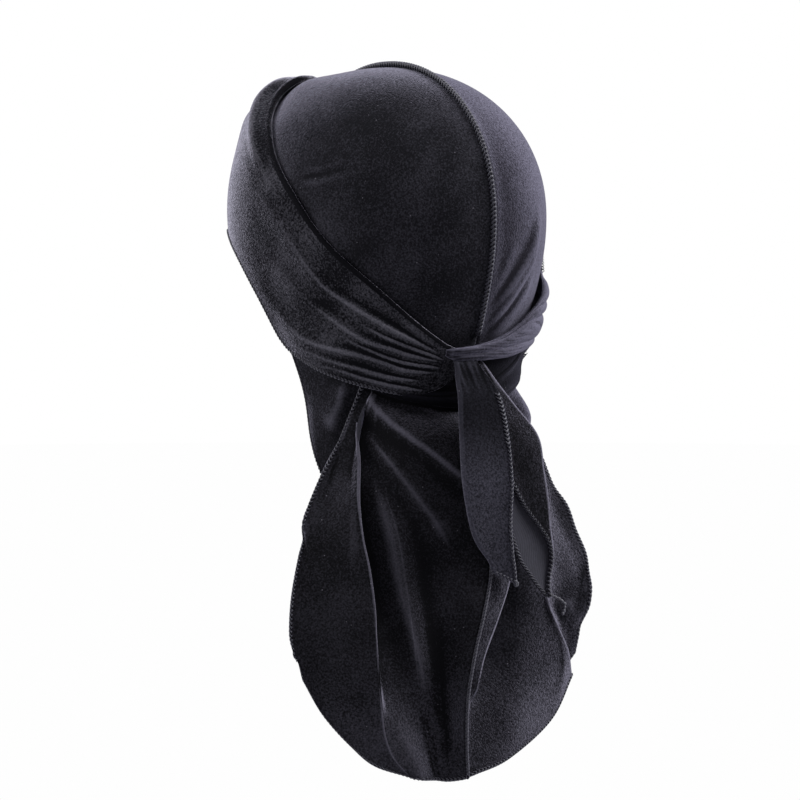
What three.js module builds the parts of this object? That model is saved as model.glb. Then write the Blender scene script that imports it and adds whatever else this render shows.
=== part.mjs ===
// A velvet durag with wide ties and a long cape, tied at the nape, in the shape that a head gives it.
// Millimetres. +Z is up, the wearer faces -Y, and the wearer's left is +X.
// The origin is the middle of the head at its widest level, the line that a hat size is measured on.
import * as THREE from "three";
import { mergeVertices } from "three/addons/utils/BufferGeometryUtils.js";

const { lerp, clamp, degToRad } = THREE.MathUtils;

// ---- Driving dimensions -------------------------------------------------------------------------

const CLOTH = 1.5; // thickness of the velvet, pile and backing together
const GAP = 0.5; // clearance between two layers of cloth

// The head that the cloth is pulled over: half its width, how far it reaches to the front and back,
// and how far its top is above the widest level. Below that level it narrows towards the neck.
const HEAD = { halfWidth: 74, front: 88.5, back: 92.5, top: 76.5, fullness: 2.1 };
const NECK = { share: 0.68, depth: 125 };
const APEX = 126; // level of the top of the head: levels are measured along the scalp

// How far the inner face of each layer stands off the head.
const LAYER = { crown: 0, cape: 2.4, firstTurn: 2.3, turnOnCape: 4.6, secondTurn: 4.6, turnOnTurn: 6.8 };

const OVERLOCK = { height: 3.2, width: 2.4 }; // seam that stands up from the crown
const CAPE_SEAM = { height: 2, width: 1.8 }; // flatter seam down the cape

// ---- Tables -------------------------------------------------------------------------------------
// Azimuth goes round the head in degrees: 0 is the forehead, 90 the left ear, 180 the nape.
// Level is the distance along the scalp from the widest line: up is positive, down is negative.

// Lower edge of each crown panel: brow, temple, in front of the ear, then a lobe behind the ear.
const CROWN_EDGE = [
  { azimuth: 0, low: 1 },
  { azimuth: 35, low: 1 },
  { azimuth: 60, low: -5 },
  { azimuth: 76, low: -19 },
  { azimuth: 85, low: -38 },
  { azimuth: 92, low: -62 },
  { azimuth: 97, low: -92 },
  { azimuth: 103, low: -118 },
  { azimuth: 111, low: -136 },
  { azimuth: 121, low: -143 },
  { azimuth: 136, low: -134 },
  { azimuth: 155, low: -114 },
  { azimuth: 180, low: -104 },
];

// Left tie: from the right temple over the forehead and the left ear to the knot at the nape. Its top edge
// is rolled. Either edge may stand off the head, as the tie does at the left of the forehead.
const LEFT_TIE = [
  { azimuth: -72, top: 0, bottom: -14, roll: 0, offTop: 0, offBottom: 0 },
  { azimuth: -56, top: 36, bottom: -9, roll: 0, offTop: 0, offBottom: 0 },
  { azimuth: -36, top: 58, bottom: -6, roll: 0.5, offTop: 0, offBottom: 0 },
  { azimuth: -14, top: 71, bottom: -5, roll: 1, offTop: 0.5, offBottom: 0 },
  { azimuth: 12, top: 78, bottom: -5, roll: 2, offTop: 2, offBottom: 0 },
  { azimuth: 36, top: 81, bottom: -5, roll: 3, offTop: 5, offBottom: 1 },
  { azimuth: 58, top: 76, bottom: -8, roll: 4, offTop: 8, offBottom: 2 },
  { azimuth: 74, top: 57, bottom: -20, roll: 4, offTop: 6, offBottom: 3 },
  { azimuth: 84, top: 41, bottom: -39, roll: 3, offTop: 4, offBottom: 3 },
  { azimuth: 93, top: 28, bottom: -62, roll: 2, offTop: 2, offBottom: 3 },
  { azimuth: 105, top: 10, bottom: -72, roll: 1.2, offTop: 1, offBottom: 3 },
  { azimuth: 120, top: -11, bottom: -81, roll: 0.8, offTop: 0.5, offBottom: 1.5 },
  { azimuth: 135, top: -30, bottom: -86, roll: 0.6, offTop: 0, offBottom: 0.5 },
  { azimuth: 150, top: -50, bottom: -87, roll: 0.5, offTop: 0, offBottom: 0 },
  { azimuth: 162, top: -62, bottom: -83, roll: 0.4, offTop: 0, offBottom: 0 },
  { azimuth: 169, top: -67, bottom: -77, roll: 0, offTop: 0, offBottom: 0 },
];

// Right tie: from the knot round the right side of the head to the forehead, where the left tie covers it.
const RIGHT_TIE = [
  { azimuth: 178, top: -60, bottom: -71, roll: 0, offTop: 0, offBottom: 0 },
  { azimuth: 186, top: -55, bottom: -72, roll: 0.5, offTop: 0, offBottom: 0 },
  { azimuth: 194, top: -47, bottom: -69, roll: 1, offTop: 0, offBottom: 0 },
  { azimuth: 204, top: -34, bottom: -64, roll: 1.5, offTop: 0, offBottom: 0 },
  { azimuth: 215, top: -27, bottom: -62, roll: 1.5, offTop: 1, offBottom: 0 },
  { azimuth: 230, top: -24, bottom: -63, roll: 1.5, offTop: 1, offBottom: 0 },
  { azimuth: 245, top: -6, bottom: -68, roll: 1.2, offTop: 0.5, offBottom: 0 },
  { azimuth: 257, top: 12, bottom: -68, roll: 1.2, offTop: 0, offBottom: 0 },
  { azimuth: 268, top: 29, bottom: -60, roll: 1.2, offTop: 0, offBottom: 0 },
  { azimuth: 278, top: 44, bottom: -36, roll: 0.6, offTop: 0, offBottom: 0 },
  { azimuth: 290, top: 57, bottom: -17, roll: 0, offTop: 0, offBottom: 0 },
  { azimuth: 306, top: 64, bottom: -9, roll: 0, offTop: 0, offBottom: 0 },
  { azimuth: 324, top: 67, bottom: -4, roll: 0, offTop: 0, offBottom: 0 },
  { azimuth: 350, top: 67, bottom: -2, roll: 0, offTop: 0, offBottom: 0 },
];

// First turn of the ties round the nape, over the top of the cape and under the ties' last turn.
const NAPE_WRAP = [
  { azimuth: 116, top: -60, bottom: -74, roll: 0, offTop: 0, offBottom: 0 },
  { azimuth: 138, top: -67, bottom: -87, roll: 0, offTop: 0, offBottom: 0 },
  { azimuth: 160, top: -71, bottom: -93, roll: 0, offTop: 0, offBottom: 0 },
  { azimuth: 180, top: -66, bottom: -95, roll: 0, offTop: 0, offBottom: 0 },
  { azimuth: 200, top: -59, bottom: -93, roll: 0, offTop: 0, offBottom: 0 },
  { azimuth: 218, top: -54, bottom: -89, roll: 0, offTop: 0, offBottom: 0 },
  { azimuth: 236, top: -56, bottom: -85, roll: 0, offTop: 0, offBottom: 0 },
  { azimuth: 250, top: -60, bottom: -76, roll: 0, offTop: 0, offBottom: 0 },
];

// Folds of a tie run to the knot at a constant share of its width, 0 at its top edge and 1 at the bottom.
const LEFT_TIE_FOLDS = [
  { at: 0.22, height: 1.6, spread: 0.07, from: 30, to: 168 },
  { at: 0.4, height: 2.0, spread: 0.07, from: 62, to: 168 },
  { at: 0.56, height: 1.8, spread: 0.06, from: 92, to: 168 },
  { at: 0.71, height: 2.2, spread: 0.06, from: 84, to: 168 },
  { at: 0.87, height: 1.8, spread: 0.06, from: 96, to: 168 },
];
const RIGHT_TIE_FOLDS = [
  { at: 0.3, height: 2.4, spread: 0.17, from: 180, to: 240 },
  { at: 0.76, height: 1.6, spread: 0.13, from: 180, to: 240 },
  { at: 0.5, height: 1.4, spread: 0.08, from: 230, to: 282 },
];

// The cape hangs from the nape. Each row is a line that the cloth follows down to the hem: an edge, the
// crest of a fold or a valley between two. A line leaves the nape at its azimuth, under the nape wrap, and
// passes x, y at two levels on its way to the hem. A sharp line is a crease, and the others are round.
const CAPE_TOP = -76;
const CAPE_LEFT = [
  { line: "serged edge", azimuth: 128.5, x1: 69, y1: 46, x2: 88, y2: 52, x: 98, y: 58, z: -200, sharp: 1 },
  { line: "flap, upper", azimuth: 129.7, x1: 69, y1: 49, x2: 87, y2: 57, x: 93, y: 63, z: -226, sharp: 0 },
  { line: "flap", azimuth: 130.9, x1: 69, y1: 54, x2: 84, y2: 63, x: 83, y: 69, z: -249, sharp: 0 },
  { line: "flap, lower", azimuth: 132.1, x1: 67, y1: 62, x2: 75, y2: 74, x: 68, y: 79, z: -265, sharp: 0 },
  { line: "crease", azimuth: 133.3, x1: 64, y1: 74, x2: 64, y2: 88, x: 47, y: 91, z: -278, sharp: 1 },
  { line: "valley by the crease", azimuth: 135, x1: 56, y1: 73, x2: 52, y2: 82, x: 39, y: 87, z: -282, sharp: 0 },
  { line: "long fold", azimuth: 138, x1: 52, y1: 84, x2: 45, y2: 93, x: 33, y: 91, z: -284, sharp: 0 },
  { line: "valley by the seam", azimuth: 152, x1: 30, y1: 84, x2: 29, y2: 89, x: 26, y: 91, z: -284, sharp: 0 },
  { line: "centre seam", azimuth: 180, x1: 6, y1: 97, x2: 21, y2: 103, x: 19, y: 98, z: -283, sharp: 1 },
];
const CAPE_RIGHT = [
  { line: "centre seam", azimuth: 180, x1: 6, y1: 97, x2: 21, y2: 103, x: 19, y: 98, z: -283, sharp: 1 },
  { line: "facet", azimuth: 190, x1: -8, y1: 90, x2: 12, y2: 95, x: 10, y: 94, z: -282, sharp: 0 },
  { line: "valley by the facet", azimuth: 203, x1: -18, y1: 84, x2: -15, y2: 80, x: -8, y: 87, z: -276, sharp: 0 },
  { line: "slope", azimuth: 211, x1: -27, y1: 83, x2: -36, y2: 83, x: -34, y: 84, z: -266, sharp: 0 },
  { line: "right fold, lower", azimuth: 216, x1: -33, y1: 82, x2: -47, y2: 82, x: -52, y: 80, z: -252, sharp: 0 },
  { line: "right fold", azimuth: 220, x1: -38, y1: 76, x2: -51, y2: 77, x: -62, y: 75, z: -237, sharp: 0 },
  { line: "valley behind it", azimuth: 222, x1: -44, y1: 60, x2: -56, y2: 62, x: -63, y: 62, z: -236, sharp: 0 },
  { line: "outer flap", azimuth: 224, x1: -66, y1: 51, x2: -84, y2: 59, x: -77, y: 61, z: -234, sharp: 0 },
  { line: "serged edge", azimuth: 226, x1: -57, y1: 40, x2: -76, y2: 46, x: -76, y: 51, z: -222, sharp: 1 },
];

// Folds that swing from one pinch to the other below the nape.
const SWAGS = [
  { middle: -131, pinch: -90, reach: 46, height: 7, width: 9 },
  { middle: -162, pinch: -94, reach: 50, height: 4, width: 13 },
];

// Hanging ends of the ties: the strap's middle line, its width, the way that it faces, and how much of the
// width its front layer covers.
const END_IN_FRONT = [
  { z: -72.6, x: 13, y: 88.2, width: 12, facing: 172, cover: 1 },
  { z: -92, x: 12, y: 96, width: 20, facing: 170, cover: 1 },
  { z: -115, x: 12, y: 103, width: 24, facing: 168, cover: 1 },
  { z: -140, x: 12, y: 107, width: 25, facing: 166, cover: 1 },
  { z: -160, x: 9, y: 109, width: 23, facing: 166, cover: 1 },
  { z: -172, x: 4, y: 109, width: 15, facing: 166, cover: 1 },
  { z: -181, x: -2, y: 108, width: 5, facing: 166, cover: 1 },
];
const END_BEHIND = [
  { z: -72.6, x: 2, y: 87.5, width: 9, facing: 184, cover: 1 },
  { z: -88, x: -2, y: 88.5, width: 14, facing: 188, cover: 1 },
  { z: -107, x: -11, y: 94, width: 24, facing: 190, cover: 1 },
  { z: -124, x: -15, y: 98, width: 27, facing: 190, cover: 0.9 },
  { z: -145, x: -18, y: 99, width: 28, facing: 190, cover: 0.6 },
  { z: -165, x: -21, y: 99, width: 26, facing: 190, cover: 0.3 },
  { z: -180, x: -26, y: 99, width: 14, facing: 190, cover: 0.3 },
  { z: -190, x: -30, y: 99, width: 5, facing: 190, cover: 0.6 },
];

// The knot: a short roll of the right tie that passes over the end of the left one.
const KNOT = [
  { azimuth: 164.5, level: -65.5, lift: 10.4, half: 1.4 },
  { azimuth: 168, level: -66, lift: 12.2, half: 4.0 },
  { azimuth: 172, level: -66.5, lift: 12.8, half: 5.6 },
  { azimuth: 175.5, level: -66.5, lift: 12.4, half: 5.8 },
  { azimuth: 177.6, level: -66, lift: 11.6, half: 5.2 },
];

// ---- Helpers ------------------------------------------------------------------------------------

// Reads one column of a table at a place between its rows, on a smooth curve through them.
function read(table, key, place, column) {
  const way = Math.sign(table[1][key] - table[0][key]);
  let row = 0;
  while (row < table.length - 2 && (place - table[row + 1][key]) * way > 0) row++;
  const [before, from, to, after] = [-1, 0, 1, 2].map((step) => table[clamp(row + step, 0, table.length - 1)]);
  const span = to[key] - from[key];
  const share = clamp((place - from[key]) / span, 0, 1);
  const slope = (left, right) => ((right[column] - left[column]) / (right[key] - left[key])) * span;
  const square = share * share;
  const cube = square * share;
  return (
    (2 * cube - 3 * square + 1) * from[column] +
    (cube - 2 * square + share) * slope(before, to) +
    (3 * square - 2 * cube) * to[column] +
    (cube - square) * slope(from, after)
  );
}

// A soft rise from 0 to 1 as value goes from start to end, which may be in either order.
function rise(value, start, end) {
  const share = clamp((value - start) / (end - start), 0, 1);
  return share * share * (3 - 2 * share);
}

// A rounded ridge, 1 on its crest.
function ridge(distance, width) {
  return Math.exp(-((distance / width) ** 2));
}

// Places from 0 to 1 in even steps.
function even(steps) {
  return Array.from({ length: steps + 1 }, (_, i) => i / steps);
}

// A point on the head, or lifted off it.
function headPoint(azimuth, level, lift) {
  const across = degToRad(azimuth);
  const reach = Math.cos(across) > 0 ? HEAD.front : HEAD.back;
  let spread = 1;
  let z = level;
  if (level > 0) {
    const polar = degToRad(90 * (1 - level / APEX));
    spread = Math.sin(polar) ** (2 / HEAD.fullness);
    z = (HEAD.top + lift) * Math.cos(polar) ** (2 / HEAD.fullness);
  }
  const drop = clamp(-level / NECK.depth, 0, 1);
  const neck = lerp(NECK.share, 1, 0.5 + 0.5 * Math.cos(Math.PI * drop));
  return new THREE.Vector3(
    (HEAD.halfWidth * neck + lift) * spread * Math.sin(across),
    -(reach * neck + lift) * spread * Math.cos(across),
    z,
  );
}

// Makes one closed solid from triangles that share their corners.
function solidFrom(triangles) {
  const positions = [];
  for (const [a, b, c] of triangles) {
    if (a.distanceTo(b) < 1e-3 || b.distanceTo(c) < 1e-3 || c.distanceTo(a) < 1e-3) continue;
    for (const p of [a, b, c]) positions.push(p.x, p.y, p.z);
  }
  const loose = new THREE.BufferGeometry();
  loose.setAttribute("position", new THREE.Float32BufferAttribute(positions, 3));
  const geometry = mergeVertices(loose, 1e-3);
  const corner = (i) => new THREE.Vector3().fromBufferAttribute(geometry.getAttribute("position"), geometry.index.getX(i));
  let volume = 0;
  for (let i = 0; i < geometry.index.count; i += 3) volume += corner(i).dot(corner(i + 1).cross(corner(i + 2)));
  if (volume < 0) geometry.setIndex(Array.from(geometry.index.array).reverse());
  geometry.computeVertexNormals();
  return geometry;
}

// A closed wall between two faces, each a function of u along it and v across it, both from 0 to 1.
function wall(innerFace, outerFace, alongStops, acrossStops) {
  const triangles = [];
  const quad = (a, b, c, d) => triangles.push([a, b, c], [a, c, d]);
  const gridOf = (face) => alongStops.map((u) => acrossStops.map((v) => face(u, v)));
  const inner = gridOf(innerFace);
  const outer = gridOf(outerFace);
  const columns = alongStops.length - 1;
  const rows = acrossStops.length - 1;
  for (let i = 0; i < columns; i++) {
    for (let j = 0; j < rows; j++) {
      quad(outer[i][j], outer[i + 1][j], outer[i + 1][j + 1], outer[i][j + 1]);
      quad(inner[i][j], inner[i][j + 1], inner[i + 1][j + 1], inner[i + 1][j]);
    }
    quad(outer[i][0], inner[i][0], inner[i + 1][0], outer[i + 1][0]);
    quad(outer[i][rows], outer[i + 1][rows], inner[i + 1][rows], inner[i][rows]);
  }
  for (let j = 0; j < rows; j++) {
    quad(outer[0][j], outer[0][j + 1], inner[0][j + 1], inner[0][j]);
    quad(outer[columns][j], inner[columns][j], inner[columns][j + 1], outer[columns][j + 1]);
  }
  return solidFrom(triangles);
}

// A wall of even thickness about a middle surface. Two sheets that share a seam are both cut straight
// back there, along the given place of u.
function sheet(middle, alongStops, acrossStops, seamAt) {
  const step = 1e-3;
  const across = (u, v) => {
    const alongU = middle(Math.min(u + step, 1), v).sub(middle(Math.max(u - step, 0), v));
    const alongV = middle(u, Math.min(v + step, 1)).sub(middle(u, Math.max(v - step, 0)));
    return alongU.cross(alongV).normalize();
  };
  const back = new THREE.Vector3(0, Math.sign(across(0.5, 0.5).y), 0);
  const face = (side) => (u, v) =>
    middle(u, v).addScaledVector(u === seamAt ? back : across(u, v), (side * CLOTH) / 2);
  return wall(face(-1), face(1), alongStops, acrossStops);
}

// ---- Pieces -------------------------------------------------------------------------------------

// One half of the crown, from the top seam down to its lower edge. The lobe behind the ear hangs free.
function crownPanel(side, lobeFlare) {
  const face = (lift) => (u, v) => {
    const azimuth = 180 * u;
    const level = lerp(APEX, read(CROWN_EDGE, "azimuth", azimuth, "low"), v);
    const flare = lobeFlare * rise(azimuth, 88, 104) * rise(azimuth, 128, 112) * rise(level, -90, -116);
    const point = headPoint(azimuth, level, LAYER.crown + lift + flare);
    point.x = side * (point.x + GAP / 2);
    return point;
  };
  // columns lie closest together at the ear, where the lower edge is steepest
  const columns = even(28).map((u) => u + (0.45 * Math.sin(2 * Math.PI * u)) / (2 * Math.PI));
  return wall(face(0), face(CLOTH), columns, even(14));
}

// A standing ridge of overlocked seam, swept along a path with its own way out from the cloth.
function seamRidge(path, outward, steps, size) {
  const face = (side) => (u, v) => {
    const point = path(u).addScaledVector(outward(u), GAP + v * size.height);
    point.x += (side * size.width) / 2;
    return point;
  };
  return wall(face(-1), face(1), even(steps), even(1));
}

// Lift that the folds, the rolled top edge and the slack give a tie at this place.
function tieRelief(table, folds, azimuth, share, fade) {
  const at = (column) => read(table, "azimuth", azimuth, column);
  let lift = at("roll") * ridge(share - 0.08, 0.08) + lerp(at("offTop"), at("offBottom"), share);
  for (const fold of folds) {
    const along = rise(azimuth, fold.from, fold.from + fade) * rise(azimuth, fold.to, fold.to - fade);
    lift += fold.height * along * ridge(share - fold.at, fold.spread);
  }
  return lift;
}

// Stops across a tie: its rolled edge, every crest and the valleys between them.
function tieStops(folds) {
  const crests = [0.08, ...folds.map((fold) => fold.at).sort()];
  const valleys = crests.slice(1).map((crest, i) => (crest + crests[i]) / 2);
  return [0, ...crests, ...valleys, (1 + crests[crests.length - 1]) / 2, 1].sort((a, b) => a - b);
}

function tie(table, folds, baseLift, fade, columns, stops) {
  const first = table[0].azimuth;
  const last = table[table.length - 1].azimuth;
  const face = (lift) => (u, v) => {
    const azimuth = lerp(first, last, u);
    const level = lerp(read(table, "azimuth", azimuth, "top"), read(table, "azimuth", azimuth, "bottom"), v);
    return headPoint(azimuth, level, baseLift(azimuth, level) + tieRelief(table, folds, azimuth, v, fade) + lift);
  };
  return wall(face(0), face(CLOTH), even(columns), stops);
}

// The left tie lies on the crown, on the right tie at the forehead and on the nape wrap at the back.
function leftTieLift(azimuth, level) {
  const onTie = rise(azimuth, 44, 16);
  const onWrap = rise(azimuth, 104, 114) * rise(level, -46, -58);
  return LAYER.firstTurn + (LAYER.secondTurn - LAYER.firstTurn) * onTie + (LAYER.turnOnTurn - LAYER.firstTurn) * onWrap;
}

// The nape wrap lies on the cape, and beside it on the crown.
function napeWrapLift(azimuth) {
  return lerp(LAYER.turnOnCape, LAYER.firstTurn, rise(azimuth, 236, 246));
}

// The right tie lies on the crown above the nape wrap, and on the wrap below its top edge.
function rightTieLift(azimuth, level) {
  const wrapTop = read(NAPE_WRAP, "azimuth", clamp(azimuth, 116, 250), "top");
  const onWrap = rise(azimuth, 266, 256) * rise(level, wrapTop + 12, wrapTop + 3);
  const above = napeWrapLift(azimuth) + LAYER.turnOnTurn - LAYER.turnOnCape;
  return lerp(LAYER.firstTurn, above, Math.max(onWrap, rise(azimuth, 198, 188)));
}

// A point on one line of the cape, v from 0 at the top to 1 at the hem.
const LEAVE = 0.1; // share of a line that lies on the nape, under the wrap
function capeOnNape(azimuth, v) {
  const leaveLevel = read(NAPE_WRAP, "azimuth", azimuth, "bottom") - 2;
  return headPoint(azimuth, lerp(CAPE_TOP, leaveLevel, Math.min(v / LEAVE, 1)), LAYER.cape + CLOTH / 2);
}
function capeLine(row, v) {
  const onNape = capeOnNape(row.azimuth, v);
  if (v <= LEAVE) return onNape;
  const stations = [
    { v: LEAVE, x: onNape.x, y: onNape.y },
    { v: lerp(LEAVE, 1, 0.36), x: row.x1, y: row.y1 },
    { v: lerp(LEAVE, 1, 0.68), x: row.x2, y: row.y2 },
    { v: 1, x: row.x, y: row.y },
  ];
  const z = lerp(onNape.z, row.z, (v - LEAVE) / (1 - LEAVE));
  return new THREE.Vector3(read(stations, "v", v, "x"), read(stations, "v", v, "y"), z);
}

// A point of the cape's middle surface: u runs across its lines, as a curve through them.
function capePoint(lines, u, v) {
  const place = u * (lines.length - 1);
  const row = Math.min(Math.floor(place), lines.length - 2);
  const share = place - row;
  const line = (step) => lines[clamp(row + step, 0, lines.length - 1)];
  const curve = (before, from, to, after) => {
    const chord = to.clone().sub(from);
    const slopeFrom = line(0).sharp ? chord : to.clone().sub(before).multiplyScalar(0.5);
    const slopeTo = line(1).sharp ? chord : after.clone().sub(from).multiplyScalar(0.5);
    const square = share * share;
    const cube = square * share;
    return from
      .clone()
      .multiplyScalar(2 * cube - 3 * square + 1)
      .addScaledVector(slopeFrom, cube - 2 * square + share)
      .addScaledVector(to, 3 * square - 2 * cube)
      .addScaledVector(slopeTo, cube - square);
  };
  const across = (place) => curve(...[-1, 0, 1, 2].map((step) => capeLine(line(step), place)));
  const azimuth = lerp(line(0).azimuth, line(1).azimuth, share);
  if (v <= LEAVE) return capeOnNape(azimuth, v);
  // just below the wrap the cloth still has the nape's roundness, which the curve through the lines lacks
  const roundness = capeOnNape(azimuth, LEAVE).sub(across(LEAVE));
  const point = across(v).addScaledVector(roundness, rise(v, 0.45, LEAVE));
  point.y += swagRelief(point) * rise(v, LEAVE, 0.2);
  return point;
}

// How far the swags push the cloth out, away from the neck.
function swagRelief(point) {
  let push = 0;
  for (const swag of SWAGS) {
    const share = clamp(Math.abs(point.x) / swag.reach, 0, 1);
    const crest = lerp(swag.middle, swag.pinch, share ** 1.8);
    push += swag.height * (1 - share ** 4) * ridge(point.z - crest, swag.width);
  }
  return push;
}

function capePanel(lines, side) {
  const middle = (u, v) => {
    const point = capePoint(lines, u, v);
    point.x += side * GAP;
    return point;
  };
  return sheet(middle, even(2 * (lines.length - 1)), even(20), side > 0 ? 1 : 0);
}

// A hanging end: a tie folded in two along its length, with the fold on one side and its cut edges on the other.
function hangingEnd(table, foldSide) {
  const half = 1.15 * CLOTH; // half the distance between the middles of the two layers
  const turnShare = 0.16;
  const layerShare = (1 - turnShare) / 2;
  const middle = (u, v) => {
    const z = lerp(table[0].z, table[table.length - 1].z, v);
    const at = (column) => read(table, "z", z, column);
    const facing = degToRad(at("facing"));
    const out = new THREE.Vector3(Math.sin(facing), -Math.cos(facing), 0);
    const across = new THREE.Vector3(-Math.cos(facing), -Math.sin(facing), 0).multiplyScalar(foldSide);
    const flat = at("width") - half;
    const turn = clamp((u - layerShare) / turnShare, 0, 1) * Math.PI;
    const frontLayer = (Math.max(layerShare - u, 0) / layerShare) * at("cover");
    const backLayer = Math.max(u - layerShare - turnShare, 0) / layerShare;
    return new THREE.Vector3(at("x"), at("y"), z)
      .addScaledVector(across, flat * (0.5 - frontLayer - backLayer) + half * Math.sin(turn))
      .addScaledVector(out, half * Math.cos(turn));
  };
  return sheet(middle, even(14), even(12));
}

// A closed roll through the rows of a table, round in section and flatter towards the head.
function roll(table, sides) {
  const ring = ({ azimuth, level, lift, half }) =>
    even(sides).slice(0, sides).map((share) => {
      const turn = 2 * Math.PI * share;
      return headPoint(azimuth, level + half * Math.sin(turn), lift + 0.6 * half * Math.cos(turn));
    });
  const rings = table.map(ring);
  const middle = (points) => points.reduce((sum, p) => sum.add(p), new THREE.Vector3()).divideScalar(points.length);
  const triangles = [];
  const last = rings.length - 1;
  for (let j = 0; j < sides; j++) {
    const next = (j + 1) % sides;
    for (let i = 0; i < last; i++) {
      triangles.push([rings[i][j], rings[i + 1][j], rings[i + 1][next]], [rings[i][j], rings[i + 1][next], rings[i][next]]);
    }
    triangles.push([middle(rings[0]), rings[0][j], rings[0][next]], [middle(rings[last]), rings[last][next], rings[last][j]]);
  }
  return solidFrom(triangles);
}

// ---- Assembly -----------------------------------------------------------------------------------

const velvet = { color: 0x17161b, roughness: 0.95, metalness: 0 };
const thread = { color: 0x1c1b20, roughness: 0.8, metalness: 0 };

const durag = new THREE.Group();
function addPiece(name, geometry, finish) {
  const mesh = new THREE.Mesh(geometry, new THREE.MeshStandardMaterial(finish));
  mesh.name = name;
  durag.add(mesh);
}

addPiece("crown_left", crownPanel(1, 5), velvet);
addPiece("crown_right", crownPanel(-1, 10), velvet);

// The crown's seam runs over the top of the head, from the tie at the forehead to the one at the nape.
const CROWN_SEAM = { from: 92, to: 2 * APEX + 54 };
const crownSeamPoint = (lift) => (u) => {
  const along = lerp(CROWN_SEAM.from, CROWN_SEAM.to, u);
  return along < APEX ? headPoint(0, along, lift) : headPoint(180, 2 * APEX - along, lift);
};
const crownSeamOut = (u) => crownSeamPoint(CLOTH + 1)(u).sub(crownSeamPoint(CLOTH)(u)).normalize();
addPiece("crown_seam", seamRidge(crownSeamPoint(CLOTH), crownSeamOut, 30, OVERLOCK), thread);

addPiece("tie_left", tie(LEFT_TIE, LEFT_TIE_FOLDS, leftTieLift, 40, 42, tieStops(LEFT_TIE_FOLDS)), velvet);
addPiece("tie_right", tie(RIGHT_TIE, RIGHT_TIE_FOLDS, rightTieLift, 14, 32, tieStops(RIGHT_TIE_FOLDS)), velvet);
addPiece("nape_wrap", tie(NAPE_WRAP, [], napeWrapLift, 1, 24, even(3)), velvet);
addPiece("knot", roll(KNOT, 10), velvet);

addPiece("cape_left", capePanel(CAPE_LEFT, 1), velvet);
addPiece("cape_right", capePanel(CAPE_RIGHT, -1), velvet);
const capeSeamPoint = (u) => {
  const point = capePoint(CAPE_LEFT, 1, lerp(0.14, 1, u));
  point.y += CLOTH / 2 + 1.1;
  return point;
};
addPiece("cape_seam", seamRidge(capeSeamPoint, () => new THREE.Vector3(0, 1, 0), 18, CAPE_SEAM), thread);

addPiece("tie_end_front", hangingEnd(END_IN_FRONT, 1), velvet);
addPiece("tie_end_behind", hangingEnd(END_BEHIND, -1), velvet);

export default durag;
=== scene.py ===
# %% [markdown]
# # A velvet durag, tied at the nape
# A durag is a close cap of stretch velvet. Two panels meet in a seam over the top of the head, two
# wide ties cross at the forehead and are knotted at the nape, and a long two-panel cape hangs behind.
# The imported model already holds every main form. Here each plain sheet gets its dressed double, with
# folds, pile, a knit back and overlocked edges.

# %% Load the fixed model
import math
import bmesh
import bpy
import numpy as np
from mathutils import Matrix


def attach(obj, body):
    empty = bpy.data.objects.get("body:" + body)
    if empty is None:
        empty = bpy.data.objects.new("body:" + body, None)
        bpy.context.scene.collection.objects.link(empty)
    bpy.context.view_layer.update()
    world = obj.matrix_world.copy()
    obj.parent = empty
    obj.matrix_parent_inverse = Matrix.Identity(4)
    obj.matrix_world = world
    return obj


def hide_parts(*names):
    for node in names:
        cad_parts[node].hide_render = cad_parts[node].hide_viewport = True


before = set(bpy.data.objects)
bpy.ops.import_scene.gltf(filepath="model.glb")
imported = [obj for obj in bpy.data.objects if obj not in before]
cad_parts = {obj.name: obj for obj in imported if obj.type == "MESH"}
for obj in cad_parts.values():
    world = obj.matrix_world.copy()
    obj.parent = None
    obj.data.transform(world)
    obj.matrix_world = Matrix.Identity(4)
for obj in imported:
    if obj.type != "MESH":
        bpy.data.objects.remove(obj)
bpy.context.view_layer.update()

bpy.ops.object.select_all(action="DESELECT")

# %% [markdown]
# ## Camera
# The camera comes first. It stands behind the wearer's left shoulder, four degrees above the nape, and
# looks through a long lens, so that the cloth is hardly distorted. It could be placed by hand in the
# window, but a turn, a rise and a distance are easier to read and to change.

# %% Camera
SHOT_TURN, SHOT_RISE, SHOT_DISTANCE = math.radians(146), math.radians(4), 1.6
LENS, SENSOR = 137.1, 36  # millimetres; the view is 0.42 m wide at the durag
MIDDLE = np.array([0, 0, -0.104])  # the durag's middle, which sits a little left and low in the view
shot_right = np.array([math.cos(SHOT_TURN), math.sin(SHOT_TURN), 0])
shot_back = np.array([math.sin(SHOT_TURN) * math.cos(SHOT_RISE),
                      -math.cos(SHOT_TURN) * math.cos(SHOT_RISE), math.sin(SHOT_RISE)])
shot_up = np.cross(shot_back, shot_right)
shot_aim = MIDDLE + 0.0063 * shot_right + 0.0084 * shot_up

camera = bpy.data.objects.new("shot_camera", bpy.data.cameras.new("shot_camera"))
bpy.context.scene.collection.objects.link(camera)
camera.data.lens = LENS
camera.data.sensor_width = SENSOR
camera.location = shot_aim + SHOT_DISTANCE * shot_back
camera.rotation_euler = (math.radians(90) - SHOT_RISE, 0, SHOT_TURN)
bpy.context.scene.camera = camera
print("camera at", tuple(round(v, 3) for v in camera.location))

# %% [markdown]
# ## The head that gives the cloth its shape
# Stretch velvet takes the shape of what is inside it. So every layer is written as a place on the head,
# in degrees round it and millimetres along the scalp, and a lift off the scalp. These are the same
# formulas and sizes as in the model, in millimetres, and a mesh is turned into metres when it is made.
# Cloth could be dropped on a head by simulation, but a stretched cap follows the head so closely that
# a formula gives it cleaner, and puts each fold where it belongs. Edges and lines are kept in short
# tables, which are read on a smooth curve, and every swell or fade is one of three soft shapes.

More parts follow.
